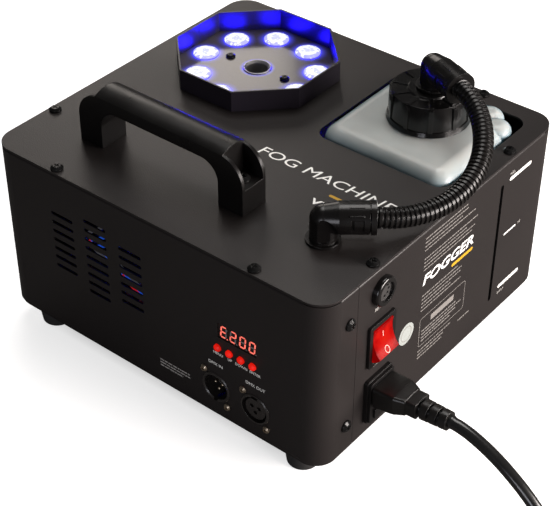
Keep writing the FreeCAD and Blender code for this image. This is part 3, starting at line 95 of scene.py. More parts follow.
class Tree:
    """Small wrapper that makes node graphs readable."""

    def __init__(self, name):
        self.mat = bpy.data.materials.new(name)
        self.mat.use_nodes = True
        self.nt = self.mat.node_tree
        self.nt.nodes.clear()
        self.out = self.nt.nodes.new("ShaderNodeOutputMaterial")
        self.bsdf = self.nt.nodes.new("ShaderNodeBsdfPrincipled")
        self.link(self.bsdf.outputs[0], self.out.inputs[0])
        self.co = self.nt.nodes.new("ShaderNodeTexCoord").outputs["Object"]

    def link(self, a, b):
        self.nt.links.new(a, b)

    def put(self, socket, value):
        if isinstance(value, bpy.types.NodeSocket):
            self.link(value, socket)
        elif value is not None:
            if isinstance(value, tuple) and len(value) == 3 and socket.type == "RGBA":
                value = (*value, 1)
            socket.default_value = value

    def set(self, **values):
        names = {"color": "Base Color", "rough": "Roughness", "metal": "Metallic", "normal": "Normal",
                 "spec": "Specular IOR Level", "coat": "Coat Weight", "coat_rough": "Coat Roughness",
                 "glow": "Emission Color", "power": "Emission Strength", "sss": "Subsurface Weight",
                 "sss_scale": "Subsurface Scale", "sss_radius": "Subsurface Radius",
                 "clear": "Transmission Weight", "ior": "IOR", "sheen": "Sheen Weight"}
        for key, value in values.items():
            self.put(self.bsdf.inputs[names[key]], value)
        return self

    def math(self, op, a, b=None):
        n = self.nt.nodes.new("ShaderNodeMath")
        n.operation = op
        self.put(n.inputs[0], a)
        self.put(n.inputs[1], b)
        return n.outputs[0]

    def scaled(self, x, y, z):
        n = self.nt.nodes.new("ShaderNodeMapping")
        self.link(self.co, n.inputs[0])
        n.inputs["Scale"].default_value = (x, y, z)
        return n.outputs[0]

    def noise(self, scale, detail=2.0, vector=None):
        n = self.nt.nodes.new("ShaderNodeTexNoise")
        n.inputs["Scale"].default_value = scale
        n.inputs["Detail"].default_value = detail
        self.link(vector or self.co, n.inputs["Vector"])
        return n.outputs[0]

    def voronoi(self, scale):
        n = self.nt.nodes.new("ShaderNodeTexVoronoi")
        n.inputs["Scale"].default_value = scale
        self.link(self.co, n.inputs["Vector"])
        return n.outputs["Distance"]

    def span(self, value, lo, hi, a=0.0, b=1.0):
        n = self.nt.nodes.new("ShaderNodeMapRange")
        for k, v in enumerate((value, lo, hi, a, b)):
            self.put(n.inputs[k], v)
        return n.outputs[0]

    def mix_value(self, factor, a, b):
        return self.math("ADD", self.math("MULTIPLY", self.math("SUBTRACT", 1.0, factor), a),
                         self.math("MULTIPLY", factor, b))

    def mix(self, factor, a, b):
        n = self.nt.nodes.new("ShaderNodeMix")
        n.data_type = "RGBA"
        self.put(n.inputs[0], factor)
        self.put(n.inputs[6], a)
        self.put(n.inputs[7], b)
        return n.outputs[2]

    def ramp(self, factor, stops, constant=False):
        n = self.nt.nodes.new("ShaderNodeValToRGB")
        n.color_ramp.interpolation = "CONSTANT" if constant else "LINEAR"
        while len(n.color_ramp.elements) < len(stops):
            n.color_ramp.elements.new(0.5)
        for e, (at, color) in zip(n.color_ramp.elements, stops):
            e.position = at
            e.color = (*color, 1)
        self.link(factor, n.inputs[0])
        return n.outputs[0]

    def bump(self, height, depth, normal=None):
        n = self.nt.nodes.new("ShaderNodeBump")
        n.inputs["Strength"].default_value = 1.0
        n.inputs["Distance"].default_value = depth
        self.link(height, n.inputs["Height"])
        if normal is not None:
            self.link(normal, n.inputs["Normal"])
        return n.outputs[0]

    def soft_edge(self, radius):
        n = self.nt.nodes.new("ShaderNodeBevel")
        n.samples = 4
        n.inputs["Radius"].default_value = radius
        return n.outputs[0]

    def axis(self, k):
        n = self.nt.nodes.new("ShaderNodeSeparateXYZ")
        self.link(self.co, n.inputs[0])
        return n.outputs[k]


def darker(color, share):
    return tuple(c * share for c in color)


def coated(name, dark, light, rough, grain, depth, edge, spec, coat=0.0):
    """Paint or moulded plastic: fine grain, slow patches of tone, slightly uneven sheen."""
    t = Tree(name)
    fine = t.noise(grain, 3.0)
    slow = t.noise(14.0, 2.0)
    tone = t.mix(t.span(slow, 0.35, 0.65), dark, light)
    t.set(color=tone, rough=t.span(t.noise(60.0, 3.0), 0.3, 0.7, rough - 0.05, rough + 0.05), spec=spec,
          normal=t.bump(fine, depth, t.soft_edge(edge)), coat=coat, coat_rough=0.12)
    return t.mat


def metal(name, color, rough, brush=(1, 1, 1)):
    """Bare metal with fine lines, stretched along one axis where it is brushed."""
    t = Tree(name)
    lines = t.noise(900.0, 4.0, t.scaled(*brush))
    worn = t.noise(120.0, 3.0)
    tone = t.mix(t.span(worn, 0.3, 0.7), darker(color, 0.8), color)
    t.set(color=tone, metal=1.0, rough=t.span(lines, 0.3, 0.7, rough - 0.06, rough + 0.08),
          normal=t.bump(lines, 0.01 * MM, t.soft_edge(0.12 * MM)))
    return t.mat


def powder():
    """Dark powder coat: orange-peel grain with a few paler flecks."""
    t = Tree("powder_coat")
    grain = t.voronoi(1500.0)
    fleck = t.noise(2600.0, 2.0)
    slow = t.noise(9.0, 2.0)
    tone = t.mix(t.span(slow, 0.35, 0.65), (0.0170, 0.0142, 0.0138), (0.0205, 0.0172, 0.0166))
    tone = t.mix(t.span(fleck, 0.62, 0.8, 0.0, 0.5), tone, (0.055, 0.050, 0.048))
    t.set(color=tone, rough=t.span(slow, 0.3, 0.7, 0.35, 0.41), spec=0.34,
          normal=t.bump(grain, 0.05 * MM, t.soft_edge(0.22 * MM)))
    return t.mat


def shroud():
    """The light ring's wall: glossier than the case, so it picks up the lenses' blue."""
    t = Tree("shroud_coat")
    grain = t.voronoi(1500.0)
    tone = t.mix(t.span(t.noise(12.0), 0.3, 0.7), (0.011, 0.009, 0.014), (0.015, 0.012, 0.018))
    t.set(color=tone, rough=0.30, spec=0.55, normal=t.bump(grain, 0.05 * MM, t.soft_edge(0.4 * MM)))
    return t.mat


def lens_share(t):
    """Distance from the nearest lens centre in lens radii, and how far out from the ring's middle."""
    x = t.math("SUBTRACT", t.axis(0), LENS_MID.x)
    y = t.math("SUBTRACT", t.axis(1), LENS_MID.y)
    step = 2 * math.pi / LENS_COUNT
    angle = t.math("SUBTRACT", t.math("ARCTAN2", y, x), LENS_START - step / 2 - 2 * math.pi)
    local = t.math("SUBTRACT", t.math("MODULO", angle, step), step / 2)
    far = t.math("SQRT", t.math("ADD", t.math("MULTIPLY", x, x), t.math("MULTIPLY", y, y)))
    side = t.math("MULTIPLY", far, t.math("SINE", local))
    out = t.math("SUBTRACT", t.math("MULTIPLY", far, t.math("COSINE", local)), LENS_RING)
    near = t.math("SQRT", t.math("ADD", t.math("MULTIPLY", side, side), t.math("MULTIPLY", out, out)))
    return t.math("DIVIDE", near, LENS_R), far


def lens():
    """Lit lens: white with pale lavender facets, folded so all lenses match; it throws deep blue light."""
    t = Tree("lit_lens")
    share, _ = lens_share(t)
    share = t.math("ADD", share, t.span(t.voronoi(330.0), 0.1, 0.6, -0.22, 0.22))
    glow = t.ramp(share, [(0.0, (0.98, 0.99, 1.0)), (0.22, (0.62, 0.64, 0.97)), (0.42, (0.70, 0.73, 1.0)),
                          (0.52, (0.96, 0.98, 1.0)), (0.93, (0.97, 0.98, 1.0)), (1.0, (0.45, 0.45, 1.0))])
    path = t.nt.nodes.new("ShaderNodeLightPath")
    seen = path.outputs["Is Camera Ray"]
    glow = t.mix(seen, (0.010, 0.004, 1.0), glow)
    t.set(color=(0.1, 0.1, 0.3), rough=0.2, glow=glow, power=t.mix_value(seen, LENS_THROW, 1.0),
          normal=t.bump(t.voronoi(420.0), 0.25 * MM))
    return t.mat


def plate():
    """Satin plate that mirrors the lit walls; painted blue glow round each lens and the outlet, seen by the
    camera only.
    """
    t = Tree("led_plate")
    share, far = lens_share(t)
    brush = t.noise(500.0, 3.0, t.scaled(1, 6, 1))
    # Painted blue glow: a halo round each lens and a ring round the outlet, emitted for camera rays only.
    painted_lens_halo = t.math("POWER", t.span(share, 1.0, 1.75, 1.0, 0.0), 2.5)
    rim = t.span(far, 10 * MM, 13 * MM, 0.8, 0.0)
    path = t.nt.nodes.new("ShaderNodeLightPath")
    painted_glow = t.math("MULTIPLY", t.math("ADD", painted_lens_halo, rim), path.outputs["Is Camera Ray"])
    t.set(color=t.mix(t.span(brush, 0.3, 0.7), (0.060, 0.052, 0.050), (0.075, 0.066, 0.063)),
          rough=t.span(brush, 0.3, 0.7, 0.12, 0.17), spec=0.7, coat=0.2, coat_rough=0.06,
          glow=(0.07, 0.08, 1.0), power=t.math("MULTIPLY", painted_glow, 0.8), normal=t.bump(brush, 0.006 * MM))
    return t.mat


def lit(name, color, glow, power, rough=0.25, coat=0.3):
    """Coloured plastic with light behind it, uneven like a real lamp."""
    t = Tree(name)
    cloud = t.noise(160.0, 2.0)
    t.set(color=t.mix(cloud, darker(color, 0.8), color),
          rough=t.span(cloud, 0.3, 0.7, rough - 0.04, rough + 0.06),
          glow=t.mix(t.span(cloud, 0.3, 0.7), darker(glow, 0.6), glow), power=power,
          coat=coat, coat_rough=0.15,
          normal=t.bump(t.noise(500.0), 0.02 * MM, t.soft_edge(0.3 * MM)))
    return t.mat


def ringed_socket(name, radius):
    """Gloss black bezel round a satin insert that is painted paler to lift the shade in its recess."""
    t = Tree(name + "_plastic")
    lo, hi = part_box(name)
    y = t.math("SUBTRACT", t.axis(1), (lo.y + hi.y) / 2)
    z = t.math("SUBTRACT", t.axis(2), (lo.z + hi.z) / 2)
    far = t.math("SQRT", t.math("ADD", t.math("MULTIPLY", y, y), t.math("MULTIPLY", z, z)))
    inner = t.span(far, radius - 0.1 * MM, radius, 1.0, 0.0)
    # Painted light: the recessed insert's tone is raised so its shaded well does not read as black.
    t.set(color=t.mix(inner, (0.005, 0.0045, 0.0045), (0.045, 0.043, 0.042)),
          rough=t.math("ADD", t.math("MULTIPLY", inner, 0.25), 0.16), spec=0.6,
          normal=t.bump(t.noise(900.0), 0.01 * MM, t.soft_edge(0.4 * MM)))
    return t.mat


def rocker_mat():
    """Clear red plastic over a lamp: brightest in the middle, deeper red towards its ends and edges."""
    t = Tree("red_rocker")
    lo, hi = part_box("power_rocker")
    up = t.math("ABSOLUTE", t.span(t.axis(2), lo.z, hi.z, -1.0, 1.0))
    across = t.math("ABSOLUTE", t.span(t.axis(1), lo.y, hi.y, -1.0, 1.0))
    edge = t.math("MAXIMUM", up, across)
    cloud = t.span(t.noise(170.0, 2.0), 0.3, 0.7, -0.25, 0.25)
    glow = t.ramp(t.math("ADD", edge, cloud), [(0.0, (1.0, 0.030, 0.008)), (0.45, (1.0, 0.012, 0.004)),
                                               (0.80, (0.60, 0.003, 0.001)), (1.0, (0.30, 0.001, 0.001))])
    t.set(color=(0.13, 0.001, 0.001), rough=0.26, spec=0.04, glow=glow, power=0.50,
          normal=t.bump(t.noise(220.0, 2.0), 0.05 * MM, t.soft_edge(0.4 * MM)))
    return t.mat


def bottle():
    """Cloudy bottle plastic with small marks and dust; painted shade makes its sides and the faces seen
    edge on darker and bluer than the top.
    """
    t = Tree("tank_plastic")
    facing = t.nt.nodes.new("ShaderNodeLayerWeight")
    facing.inputs["Blend"].default_value = 0.45
    dust = t.span(t.voronoi(240.0), 0.0, 0.06, 1.0, 0.0)
    slow = t.noise(22.0, 3.0)
    body = t.mix(t.span(slow, 0.3, 0.7), (0.46, 0.50, 0.49), (0.55, 0.59, 0.58))
    geo = t.nt.nodes.new("ShaderNodeNewGeometry")
    split = t.nt.nodes.new("ShaderNodeSeparateXYZ")
    t.link(geo.outputs["Normal"], split.inputs[0])
    # Painted shade: faces turning away from up, and faces seen edge on, take a darker blue-grey than the
    # top.
    painted_side_shade = t.span(split.outputs[2], 0.25, 0.97, 1.0, 0.0)
    edge = t.math("MAXIMUM", painted_side_shade, t.span(facing.outputs["Facing"], 0.35, 0.9))
    tone = t.mix(edge, body, (0.19, 0.275, 0.315))
    tone = t.mix(t.math("MULTIPLY", dust, 0.35), tone, (0.9, 0.93, 0.95))
    t.set(color=tone, rough=t.span(t.noise(90.0, 3.0), 0.3, 0.7, 0.30, 0.42), spec=0.5,
          sss=0.55, sss_scale=12 * MM, sss_radius=(0.8, 1.0, 1.1),
          normal=t.bump(t.noise(45.0, 4.0), 0.12 * MM, t.soft_edge(1.0 * MM)))
    return t.mat


def ribbed(name, tone, pitch):
    """Ringed or wound parts: fine lines round Z."""
    t = Tree(name)
    wave = t.math("SINE", t.math("MULTIPLY", t.axis(2), 2 * math.pi / pitch))
    # Painted shade: the colour darkens along the bump's grooves between the turns.
    t.set(color=t.mix(t.span(wave, -1.0, 1.0), darker(tone, 0.6), tone), rough=0.35, metal=0.6,
          normal=t.bump(wave, 0.1 * MM))
    return t.mat


def wires():
    """Each wire takes one of four sheath colours; a small painted glow in the same colour keeps them
    legible inside the case.
    """
    t = Tree("wire_colours")
    geo = t.nt.nodes.new("ShaderNodeNewGeometry")
    stops = [(0.0, (0.02, 0.12, 0.90)), (0.40, (0.85, 0.02, 0.02)),
             (0.60, (0.02, 0.14, 0.95)), (0.90, (0.10, 0.10, 0.11))]
    tone = t.ramp(geo.outputs["Random Per Island"], stops, constant=True)
    dirt = t.span(t.noise(300.0), 0.3, 0.7, 0.0, 0.25)
    # Painted glow: the sheaths emit their own colour though no lamp is in them.
    t.set(color=t.mix(dirt, tone, (0.1, 0.1, 0.1)), rough=0.4, glow=tone, power=0.34,
          normal=t.bump(t.noise(900.0), 0.02 * MM))
    return t.mat


def fibre():
    """Fluffy mineral blanket round the heater."""
    t = Tree("fibre_blanket")
    fluff = t.noise(320.0, 6.0, t.scaled(1, 1, 3))
    t.set(color=t.mix(fluff, (0.50, 0.47, 0.38), (0.80, 0.78, 0.70)), rough=0.95, sheen=0.3,
          normal=t.bump(fluff, 0.6 * MM))
    return t.mat


def laminate(name, tone, rim):
    """Board with a faint woven look and copper tracks under the mask."""
    t = Tree(name)
    weave = t.noise(1400.0)
    track = t.span(t.voronoi(110.0), 0.28, 0.3)
    t.set(color=t.mix(track, rim, tone), rough=0.4, normal=t.bump(weave, 0.02 * MM), coat=0.3)
    return t.mat


def paint(name, tone, rough=0.55, lift=0.0):
    """Screen-printed ink: a little patchy; lift is a painted glow in the ink's own tone that keeps
    hair-thin print legible.
    """
    t = Tree(name)
    patch = t.noise(700.0, 4.0)
    # lift sets the painted glow: the ink emits its own tone.
    t.set(color=t.mix(t.span(patch, 0.35, 0.65), darker(tone, 0.86), tone),
          rough=t.span(patch, 0.3, 0.7, rough - 0.1, rough + 0.1), glow=tone, power=lift,
          normal=t.bump(patch, 0.01 * MM))
    return t.mat


def glassy(name, tone, rough, clear):
    """Clear or milky material with a little haze."""
    t = Tree(name)
    haze = t.noise(80.0, 3.0)
    t.set(color=t.mix(haze, darker(tone, 0.9), tone),
          rough=t.span(haze, 0.3, 0.7, rough, rough + 0.06), clear=clear, ior=1.45,
          normal=t.bump(t.noise(400.0), 0.01 * MM))
    return t.mat


def screen():
    """Dark smoked window with a faint smear."""
    t = Tree("display_window")
    smear = t.noise(55.0, 5.0)
    t.set(color=t.mix(smear, (0.012, 0.004, 0.004), (0.030, 0.012, 0.012)),
          rough=t.span(smear, 0.3, 0.7, 0.16, 0.30), spec=0.4, normal=t.bump(smear, 0.02 * MM))
    return t.mat


def banded(name, tone, mark, pitch, share):
    """Component block with a printed band repeated along X."""
    t = Tree(name)
    wave = t.math("FRACT", t.math("DIVIDE", t.axis(0), pitch))
    t.set(color=t.mix(t.math("LESS_THAN", wave, share), tone, mark), rough=0.45,
          normal=t.bump(t.noise(800.0), 0.02 * MM, t.soft_edge(0.3 * MM)))
    return t.mat


BLACK = {"dark": (0.004, 0.0036, 0.0036), "light": (0.007, 0.0062, 0.006)}
MATS = {
    # Black and dark coats
    "powder_coat": powder(),
    "shroud": shroud(),
    "black_plastic": coated("black_plastic", **BLACK, rough=0.34, grain=1800.0, depth=0.012 * MM,
                            edge=0.4 * MM, spec=0.42),
    "handle": coated("handle_nylon", **BLACK, rough=0.32, grain=1500.0, depth=0.02 * MM,
                     edge=0.8 * MM, spec=0.30),
    "gloss_black": coated("gloss_black", (0.004, 0.0038, 0.0038), (0.007, 0.0065, 0.0065), rough=0.20,
                          grain=900.0, depth=0.01 * MM, edge=0.4 * MM, spec=0.45),
    "hose": coated("hose_nylon", (0.004, 0.0036, 0.0036), (0.008, 0.007, 0.0066), rough=0.27,
                   grain=700.0, depth=0.02 * MM, edge=0.4 * MM, spec=0.38),
    "black_screw": coated("black_screw", (0.004, 0.004, 0.004), (0.008, 0.008, 0.008), rough=0.20,
                          grain=1500.0, depth=0.01 * MM, edge=0.15 * MM, spec=0.36),
    "relief": coated("relief_rubber", (0.006, 0.0055, 0.005), (0.010, 0.009, 0.0085), rough=0.30,
                     grain=1200.0, depth=0.02 * MM, edge=0.8 * MM, spec=0.5),
    "cord": coated("cord_sheath", (0.008, 0.008, 0.008), (0.012, 0.012, 0.012), rough=0.26,
                   grain=500.0, depth=0.01 * MM, edge=0.2 * MM, spec=0.5, coat=0.3),
    "socket_rim": coated("socket_rim", (0.020, 0.017, 0.016), (0.028, 0.024, 0.022), rough=0.26,
                         grain=1500.0, depth=0.01 * MM, edge=0.3 * MM, spec=0.9),
    "rubber": coated("foot_rubber", (0.030, 0.029, 0.029), (0.045, 0.044, 0.043), rough=0.7,
                     grain=900.0, depth=0.05 * MM, edge=0.5 * MM, spec=0.3),
    "remote": ringed_socket("remote_socket", 6.9 * MM),
    # Metals
    "nickel": metal("nickel", (0.66, 0.55, 0.42), rough=0.30),
    "brass": metal("brass", (0.72, 0.52, 0.22), rough=0.3),
    "steel": metal("steel", (0.60, 0.60, 0.61), rough=0.34, brush=(1, 12, 12)),
    "aluminium": metal("aluminium", (0.70, 0.70, 0.71), rough=0.36, brush=(1, 10, 10)),
    "led_plate": plate(),
    "copper": ribbed("copper_winding", (0.55, 0.22, 0.08), pitch=0.5 * MM),
    # Lit parts
    "lens": lens(),
    "led_chip": lit("led_chip", (0.85, 0.75, 0.35), glow=(0.1, 0.1, 1.0), power=4.0, rough=0.4),
    "red_rocker": rocker_mat(),
    "red_button": lit("red_button", (0.50, 0.004, 0.003), glow=(1.0, 0.012, 0.003), power=0.75,
                      rough=0.5, coat=0.0),
    "segment": lit("segment_lit", (0.9, 0.3, 0.25), glow=(1.0, 0.15, 0.10), power=1.2),
    # Clear and cloudy parts, and what is inside
    "tank_plastic": bottle(),
    "display": screen(),
    "clear_tube": glassy("soft_tube", (0.80, 0.82, 0.80), rough=0.3, clear=0.6),
    "glass": glassy("fuse_glass", (0.9, 0.95, 0.95), rough=0.03, clear=0.9),
    "board": laminate("green_board", (0.01, 0.12, 0.05), rim=(0.02, 0.20, 0.09)),
    "board_white": laminate("white_board", (0.72, 0.72, 0.70), rim=(0.80, 0.80, 0.78)),
    "part_black": banded("board_part", (0.02, 0.02, 0.022), (0.30, 0.30, 0.30), pitch=9 * MM, share=0.12),
    "insulation": fibre(),
    "wire": wires(),
    # Print
    # White ink carries a small painted glow (lift) so thin strokes read brighter.
    "ink_white": paint("ink_white", (0.86, 0.85, 0.82), lift=0.22),
    "ink_grey": paint("ink_grey", (0.25, 0.235, 0.22)),
    "ink_mid": paint("ink_mid", (0.55, 0.53, 0.50)),
    "ink_pink": paint("ink_pink", (1.0, 0.50, 0.42)),
    "ink_yellow": paint("ink_yellow", (0.62, 0.36, 0.012)),
    "ink_pale": paint("ink_pale", (0.42, 0.45, 0.43), rough=0.4),
    "segment_off": paint("segment_off", (0.34, 0.30, 0.30), rough=0.35),
}

# CAD parts that look different from the rest of their material slot
CAD_LOOKS = {
    "dmx_in_socket": "socket_rim", "dmx_out_socket": "socket_rim", "remote_socket": "remote",
    "led_shroud": "shroud", "led_plate": "led_plate", "carry_handle": "handle",
    "corrugated_hose": "hose", "gland_elbow": "hose", "cap_elbow": "hose",
    "power_plug": "relief", "handle_screws": "black_screw",
}
for part in frame["record"]["subparts"]:
    name = part["node"]
    node = NODES[name]
    node.data.materials.clear()
    node.data.materials.append(MATS[CAD_LOOKS.get(name, part["material_slot"])])


# ---------------------------------------------------------------- printed marks

FACES = {
    "top": (Vector((0, 0, LID_TOP)), Vector((1, 0, 0)), Vector((0, 1, 0)), Vector((0, 0, 1))),
    "front": (Vector((0, FRONT, SHELL_LOW)), Vector((1, 0, 0)), Vector((0, 0, 1)), Vector((0, -1, 0))),
    "side": (Vector((SIDE, 0, SHELL_LOW)), Vector((0, 1, 0)), Vector((0, 0, 1)), Vector((1, 0, 0))),
}


def on_face(obj, face, u, v, turn=0.0, lift=PRINT_GAP):
    """Stands a flat mesh drawn in XY on a panel: u and v are across and up that panel."""
    origin, across, up, out = FACES[face]
    basis = Matrix((across, up, out)).transposed().to_4x4()
    place = Matrix.Translation(origin + across * u + up * v + out * lift)
    obj.data.transform(place @ basis @ Matrix.Rotation(turn, 4, "Z"))
    obj.data.update()
    return obj


def solid_from(name, outlines, thick, mat):
    """One mesh of flat plates, each an outline in XY pushed up by thick."""
    verts, faces = [], []
    for pts in outlines:
        n, base = len(pts), len(verts)
        verts += [(x, y, 0) for x, y in pts] + [(x, y, thick) for x, y in pts]
        faces.append([base + k for k in reversed(range(n))])
        faces.append([base + n + k for k in range(n)])
        faces += [[base + k, base + (k + 1) % n, base + n + (k + 1) % n, base + n + k] for k in range(n)]
    mesh = bpy.data.meshes.new(name)
    mesh.from_pydata(verts, [], faces)
    mesh.update()
    obj = bpy.data.objects.new(name, mesh)
    bpy.context.scene.collection.objects.link(obj)
    mesh.materials.append(mat)
    return obj


def weld(obj):
    """Joins plates that share a wall and drops the walls between them."""
    bm = bmesh.new()
    bm.from_mesh(obj.data)
    bmesh.ops.remove_doubles(bm, verts=bm.verts, dist=1e-6)
    walls = [f for f in bm.faces if all(len(e.link_faces) > 2 for e in f.edges)]
    bmesh.ops.delete(bm, geom=walls, context="FACES")
    bm.to_mesh(obj.data)
    bm.free()
    return obj


def bar(x, y, w, h):
    return [(x, y), (x + w, y), (x + w, y + h), (x, y + h)]


def pill(x, y, w, h, steps=8):
    r = h / 2
    pts = []
    for k in range(steps + 1):
        a = -math.pi / 2 + math.pi * k / steps
        pts.append((x + w - r + r * math.cos(a), y + r + r * math.sin(a)))
    for k in range(steps + 1):
        a = math.pi / 2 + math.pi * k / steps
        pts.append((x + r + r * math.cos(a), y + r + r * math.sin(a)))
    return pts


def disc(r, steps=48):
    turns = [2 * math.pi * k / steps for k in range(steps)]
    return [(r * math.cos(a), r * math.sin(a)) for a in turns]


def text(name, words, height, face, u, v, mat="ink_white", align="LEFT", width=None, slant=0.0, bold=0.0):
    """Plain capitals as a thin raised mesh, in mm; height is the capital height, width stretches to fit."""
    curve = bpy.data.curves.new(name, "FONT")
    curve.body = words
    curve.size = height * MM / CAP_SHARE
    curve.align_x = align
    curve.shear = slant
    curve.offset = bold * MM
    curve.extrude = PRINT_T / 2
    curve.resolution_u = 4
    temp = bpy.data.objects.new(name + "_curve", curve)
    bpy.context.scene.collection.objects.link(temp)
    bpy.context.view_layer.update()
    mesh = bpy.data.meshes.new_from_object(temp.evaluated_get(bpy.context.evaluated_depsgraph_get()))
    bpy.data.objects.remove(temp)
    bpy.data.curves.remove(curve)
    mesh.name = name
    if width:
        xs = [w.co.x for w in mesh.vertices]
        mesh.transform(Matrix.Diagonal((width * MM / (max(xs) - min(xs)), 1, 1, 1)))
    obj = bpy.data.objects.new(name, mesh)
    bpy.context.scene.collection.objects.link(obj)
    mesh.materials.clear()
    mesh.materials.append(MATS[mat])
    on_face(weld(obj), face, u * MM, v * MM, lift=PRINT_GAP + PRINT_T / 2)
    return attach(obj, "machine")


def marks(name, outlines, face, mat="ink_white", u=0.0, v=0.0):
    obj = weld(solid_from(name, outlines, PRINT_T, MATS[mat]))
    on_face(obj, face, u, v)
    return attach(obj, "machine")


# Lid: generic title with a plain yellow stroke under it
text("lid_title", "FOG MACHINE", 8.6, "top", 4.0, -28.6, width=108, slant=0.12)
marks("lid_stroke", [pill(72 * MM, -39 * MM, 46 * MM, 2.2 * MM)], "top", "ink_yellow")
text("lid_subtitle", "VERTICAL", 5.4, "top", 66.3, -51.6, width=52, bold=0.2)

# Front: labels of keys and sockets
for words, u in (("MENU", 57.0), ("UP", 66.7), ("DOWN", 76.0), ("ENTER", 87.2)):
    text("label_" + words.lower(), words, 2.1, "front", u, 52.6, align="CENTER")
text("label_data_in", "DMX IN", 2.4, "front", 54.6, 42.4, align="CENTER")
text("label_data_out", "DMX OUT", 2.4, "front", 87.4, 41.9, align="CENTER")


def print_block(rows, u0, u1, top, row_step, height, seed):
    """Rows of short dashes standing for fine print that is too small to read."""
    rng = random.Random(seed)
    out = []
    for r in range(rows):
        v = top - r * row_step
        end = u1 - (u1 - u0) * rng.uniform(0.0, 0.35)
        u = u0
        while u < end:
            w = rng.uniform(1.2, 5.0) * height
            out.append(bar(u, v, min(w, end - u + 0.2 * MM), height))
            u += w + 0.6 * height
    return out


# Fine print: face, ink, rows, left, right, top row, row step and stroke height in mm, and its seed
FINE_PRINT = {
    "pin_notes": ("front", "ink_mid", 3, 5.7, 34, 20.0, 2.5, 1.0, 3),
    "side_notes_top": ("side", "ink_grey", 4, -28, 33, 123.4, 3.1, 0.9, 5),
    "side_notes_mid": ("side", "ink_grey", 4, -27.5, 42, 107.0, 3.0, 0.9, 7),
    "side_notes_low": ("side", "ink_grey", 5, -27, 22, 76.5, 3.1, 0.9, 9),
    "side_frame_notes": ("side", "ink_grey", 4, -24, 24, 45.0, 2.8, 1.0, 11),
    "side_notes_base": ("side", "ink_grey", 3, -27, 16, 29.0, 3.0, 0.9, 13),
    "side_notes_foot": ("side", "ink_grey", 1, 22, 42, 24.0, 3.0, 1.0, 15),
}
for name, (face, ink, rows, *lengths, seed) in FINE_PRINT.items():
    marks(name, print_block(rows, *(length * MM for length in lengths), seed), face, ink)

# Right side: generic title, level marks of the tank, and labels of the sockets
text("side_title", "FOGGER", 7.6, "side", -28.0, 86.0, width=59, slant=0.2, bold=0.25)
marks("side_stroke", [pill(6.5 * MM, 80.3 * MM, 25 * MM, 2.6 * MM)], "side", "ink_yellow")
marks("full_mark", [pill(72 * MM, 113.0 * MM, 27.6 * MM, 3.0 * MM)], "side")
marks("half_mark", [pill(72.7 * MM, 67.1 * MM, 15.5 * MM, 1.5 * MM)], "side")
marks("empty_mark", [pill(73.4 * MM, 19.8 * MM, 27.2 * MM, 3.0 * MM)], "side")
text("label_full", "FULL", 2.0, "side", 72.0, 118.0, "ink_mid")
text("label_half", "1/2", 2.0, "side", 90.6, 67.0, "ink_mid")
text("label_empty", "EMPTY", 2.0, "side", 73.6, 14.6, "ink_mid")
text("label_remote", "REMOTE", 2.2, "side", -74.0, 99.0, "ink_mid", align="CENTER")
text("label_mains", "AC IN", 2.2, "side", -74.0, 52.9, "ink_mid", align="CENTER")
text("label_fuse", "FUSE", 1.9, "side", -74.0, 6.6, "ink_mid", align="CENTER")


def frame_lines(x, y, w, h, t, r, steps=6):
    """Rounded outline as short straight plates."""
    corners = ((x + w - r, y + r, -90), (x + w - r, y + h - r, 0),
               (x + r, y + h - r, 90), (x + r, y + r, 180))

    def loop(inset):
        pts = []
        for cx, cy, a0 in corners:
            for k in range(steps + 1):
                a = math.radians(a0 + 90 * k / steps)
                pts.append((cx + (r - inset) * math.cos(a), cy + (r - inset) * math.sin(a)))
        return pts
    outer, inner = loop(0), loop(t)
    n = len(outer)
    return [[inner[k], outer[k], outer[(k + 1) % n], inner[(k + 1) % n]] for k in range(n)
            if (Vector(outer[k]) - Vector(outer[(k + 1) % n])).length > 1e-7]


outline = frame_lines(-27 * MM, 33 * MM, 54 * MM, 24.5 * MM, t=0.45 * MM, r=2.5 * MM)
marks("side_frame", outline, "side", "ink_grey")
marks("side_frame_bar", [bar(-14 * MM, 49 * MM, 27 * MM, 4.6 * MM)], "side", "ink_grey")

# Plain round sticker beside the rocker
STICKER = (-42.5 * MM, 56.0 * MM)
marks("sticker", [disc(8.2 * MM)], "side", "ink_pale", *STICKER)


def annulus(r0, r1, steps=48):
    """Ring of short plates between two radii."""
    turns = [2 * math.pi * k / steps for k in range(steps + 1)]
    return [[(r * math.cos(a), r * math.sin(a)) for r, a in ((r0, a0), (r1, a0), (r1, a1), (r0, a1))]
            for a0, a1 in zip(turns, turns[1:])]


ring = weld(solid_from("sticker_ring", annulus(5.4 * MM, 5.9 * MM), PRINT_T, MATS["ink_grey"]))
on_face(ring, "side", *STICKER, lift=PRINT_GAP + PRINT_T)
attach(ring, "machine")


def on_rocker(name, outlines, mat):
    """Marks laid on the rocker's dished face, each corner dropped onto it along X."""
    rocker = NODES["power_rocker"]
    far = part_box("power_rocker")[1].x + 10 * MM
    verts, faces = [], []
    for pts in outlines:
        n, base = len(pts), len(verts)
        for lift in (PRINT_GAP, PRINT_GAP + PRINT_T):
            for y, z in pts:
                hit, at, _, _ = rocker.ray_cast(Vector((far, y, z)), Vector((-1, 0, 0)))
                verts.append((at.x + lift, y, z))
        faces.append([base + k for k in reversed(range(n))])
        faces.append([base + n + k for k in range(n)])
        faces += [[base + k, base + (k + 1) % n, base + n + (k + 1) % n, base + n + k] for k in range(n)]
    mesh = bpy.data.meshes.new(name)
    mesh.from_pydata(verts, [], faces)
    mesh.materials.append(MATS[mat])
    obj = bpy.data.objects.new(name, mesh)
    bpy.context.scene.collection.objects.link(obj)
    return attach(weld(obj), "rocker")


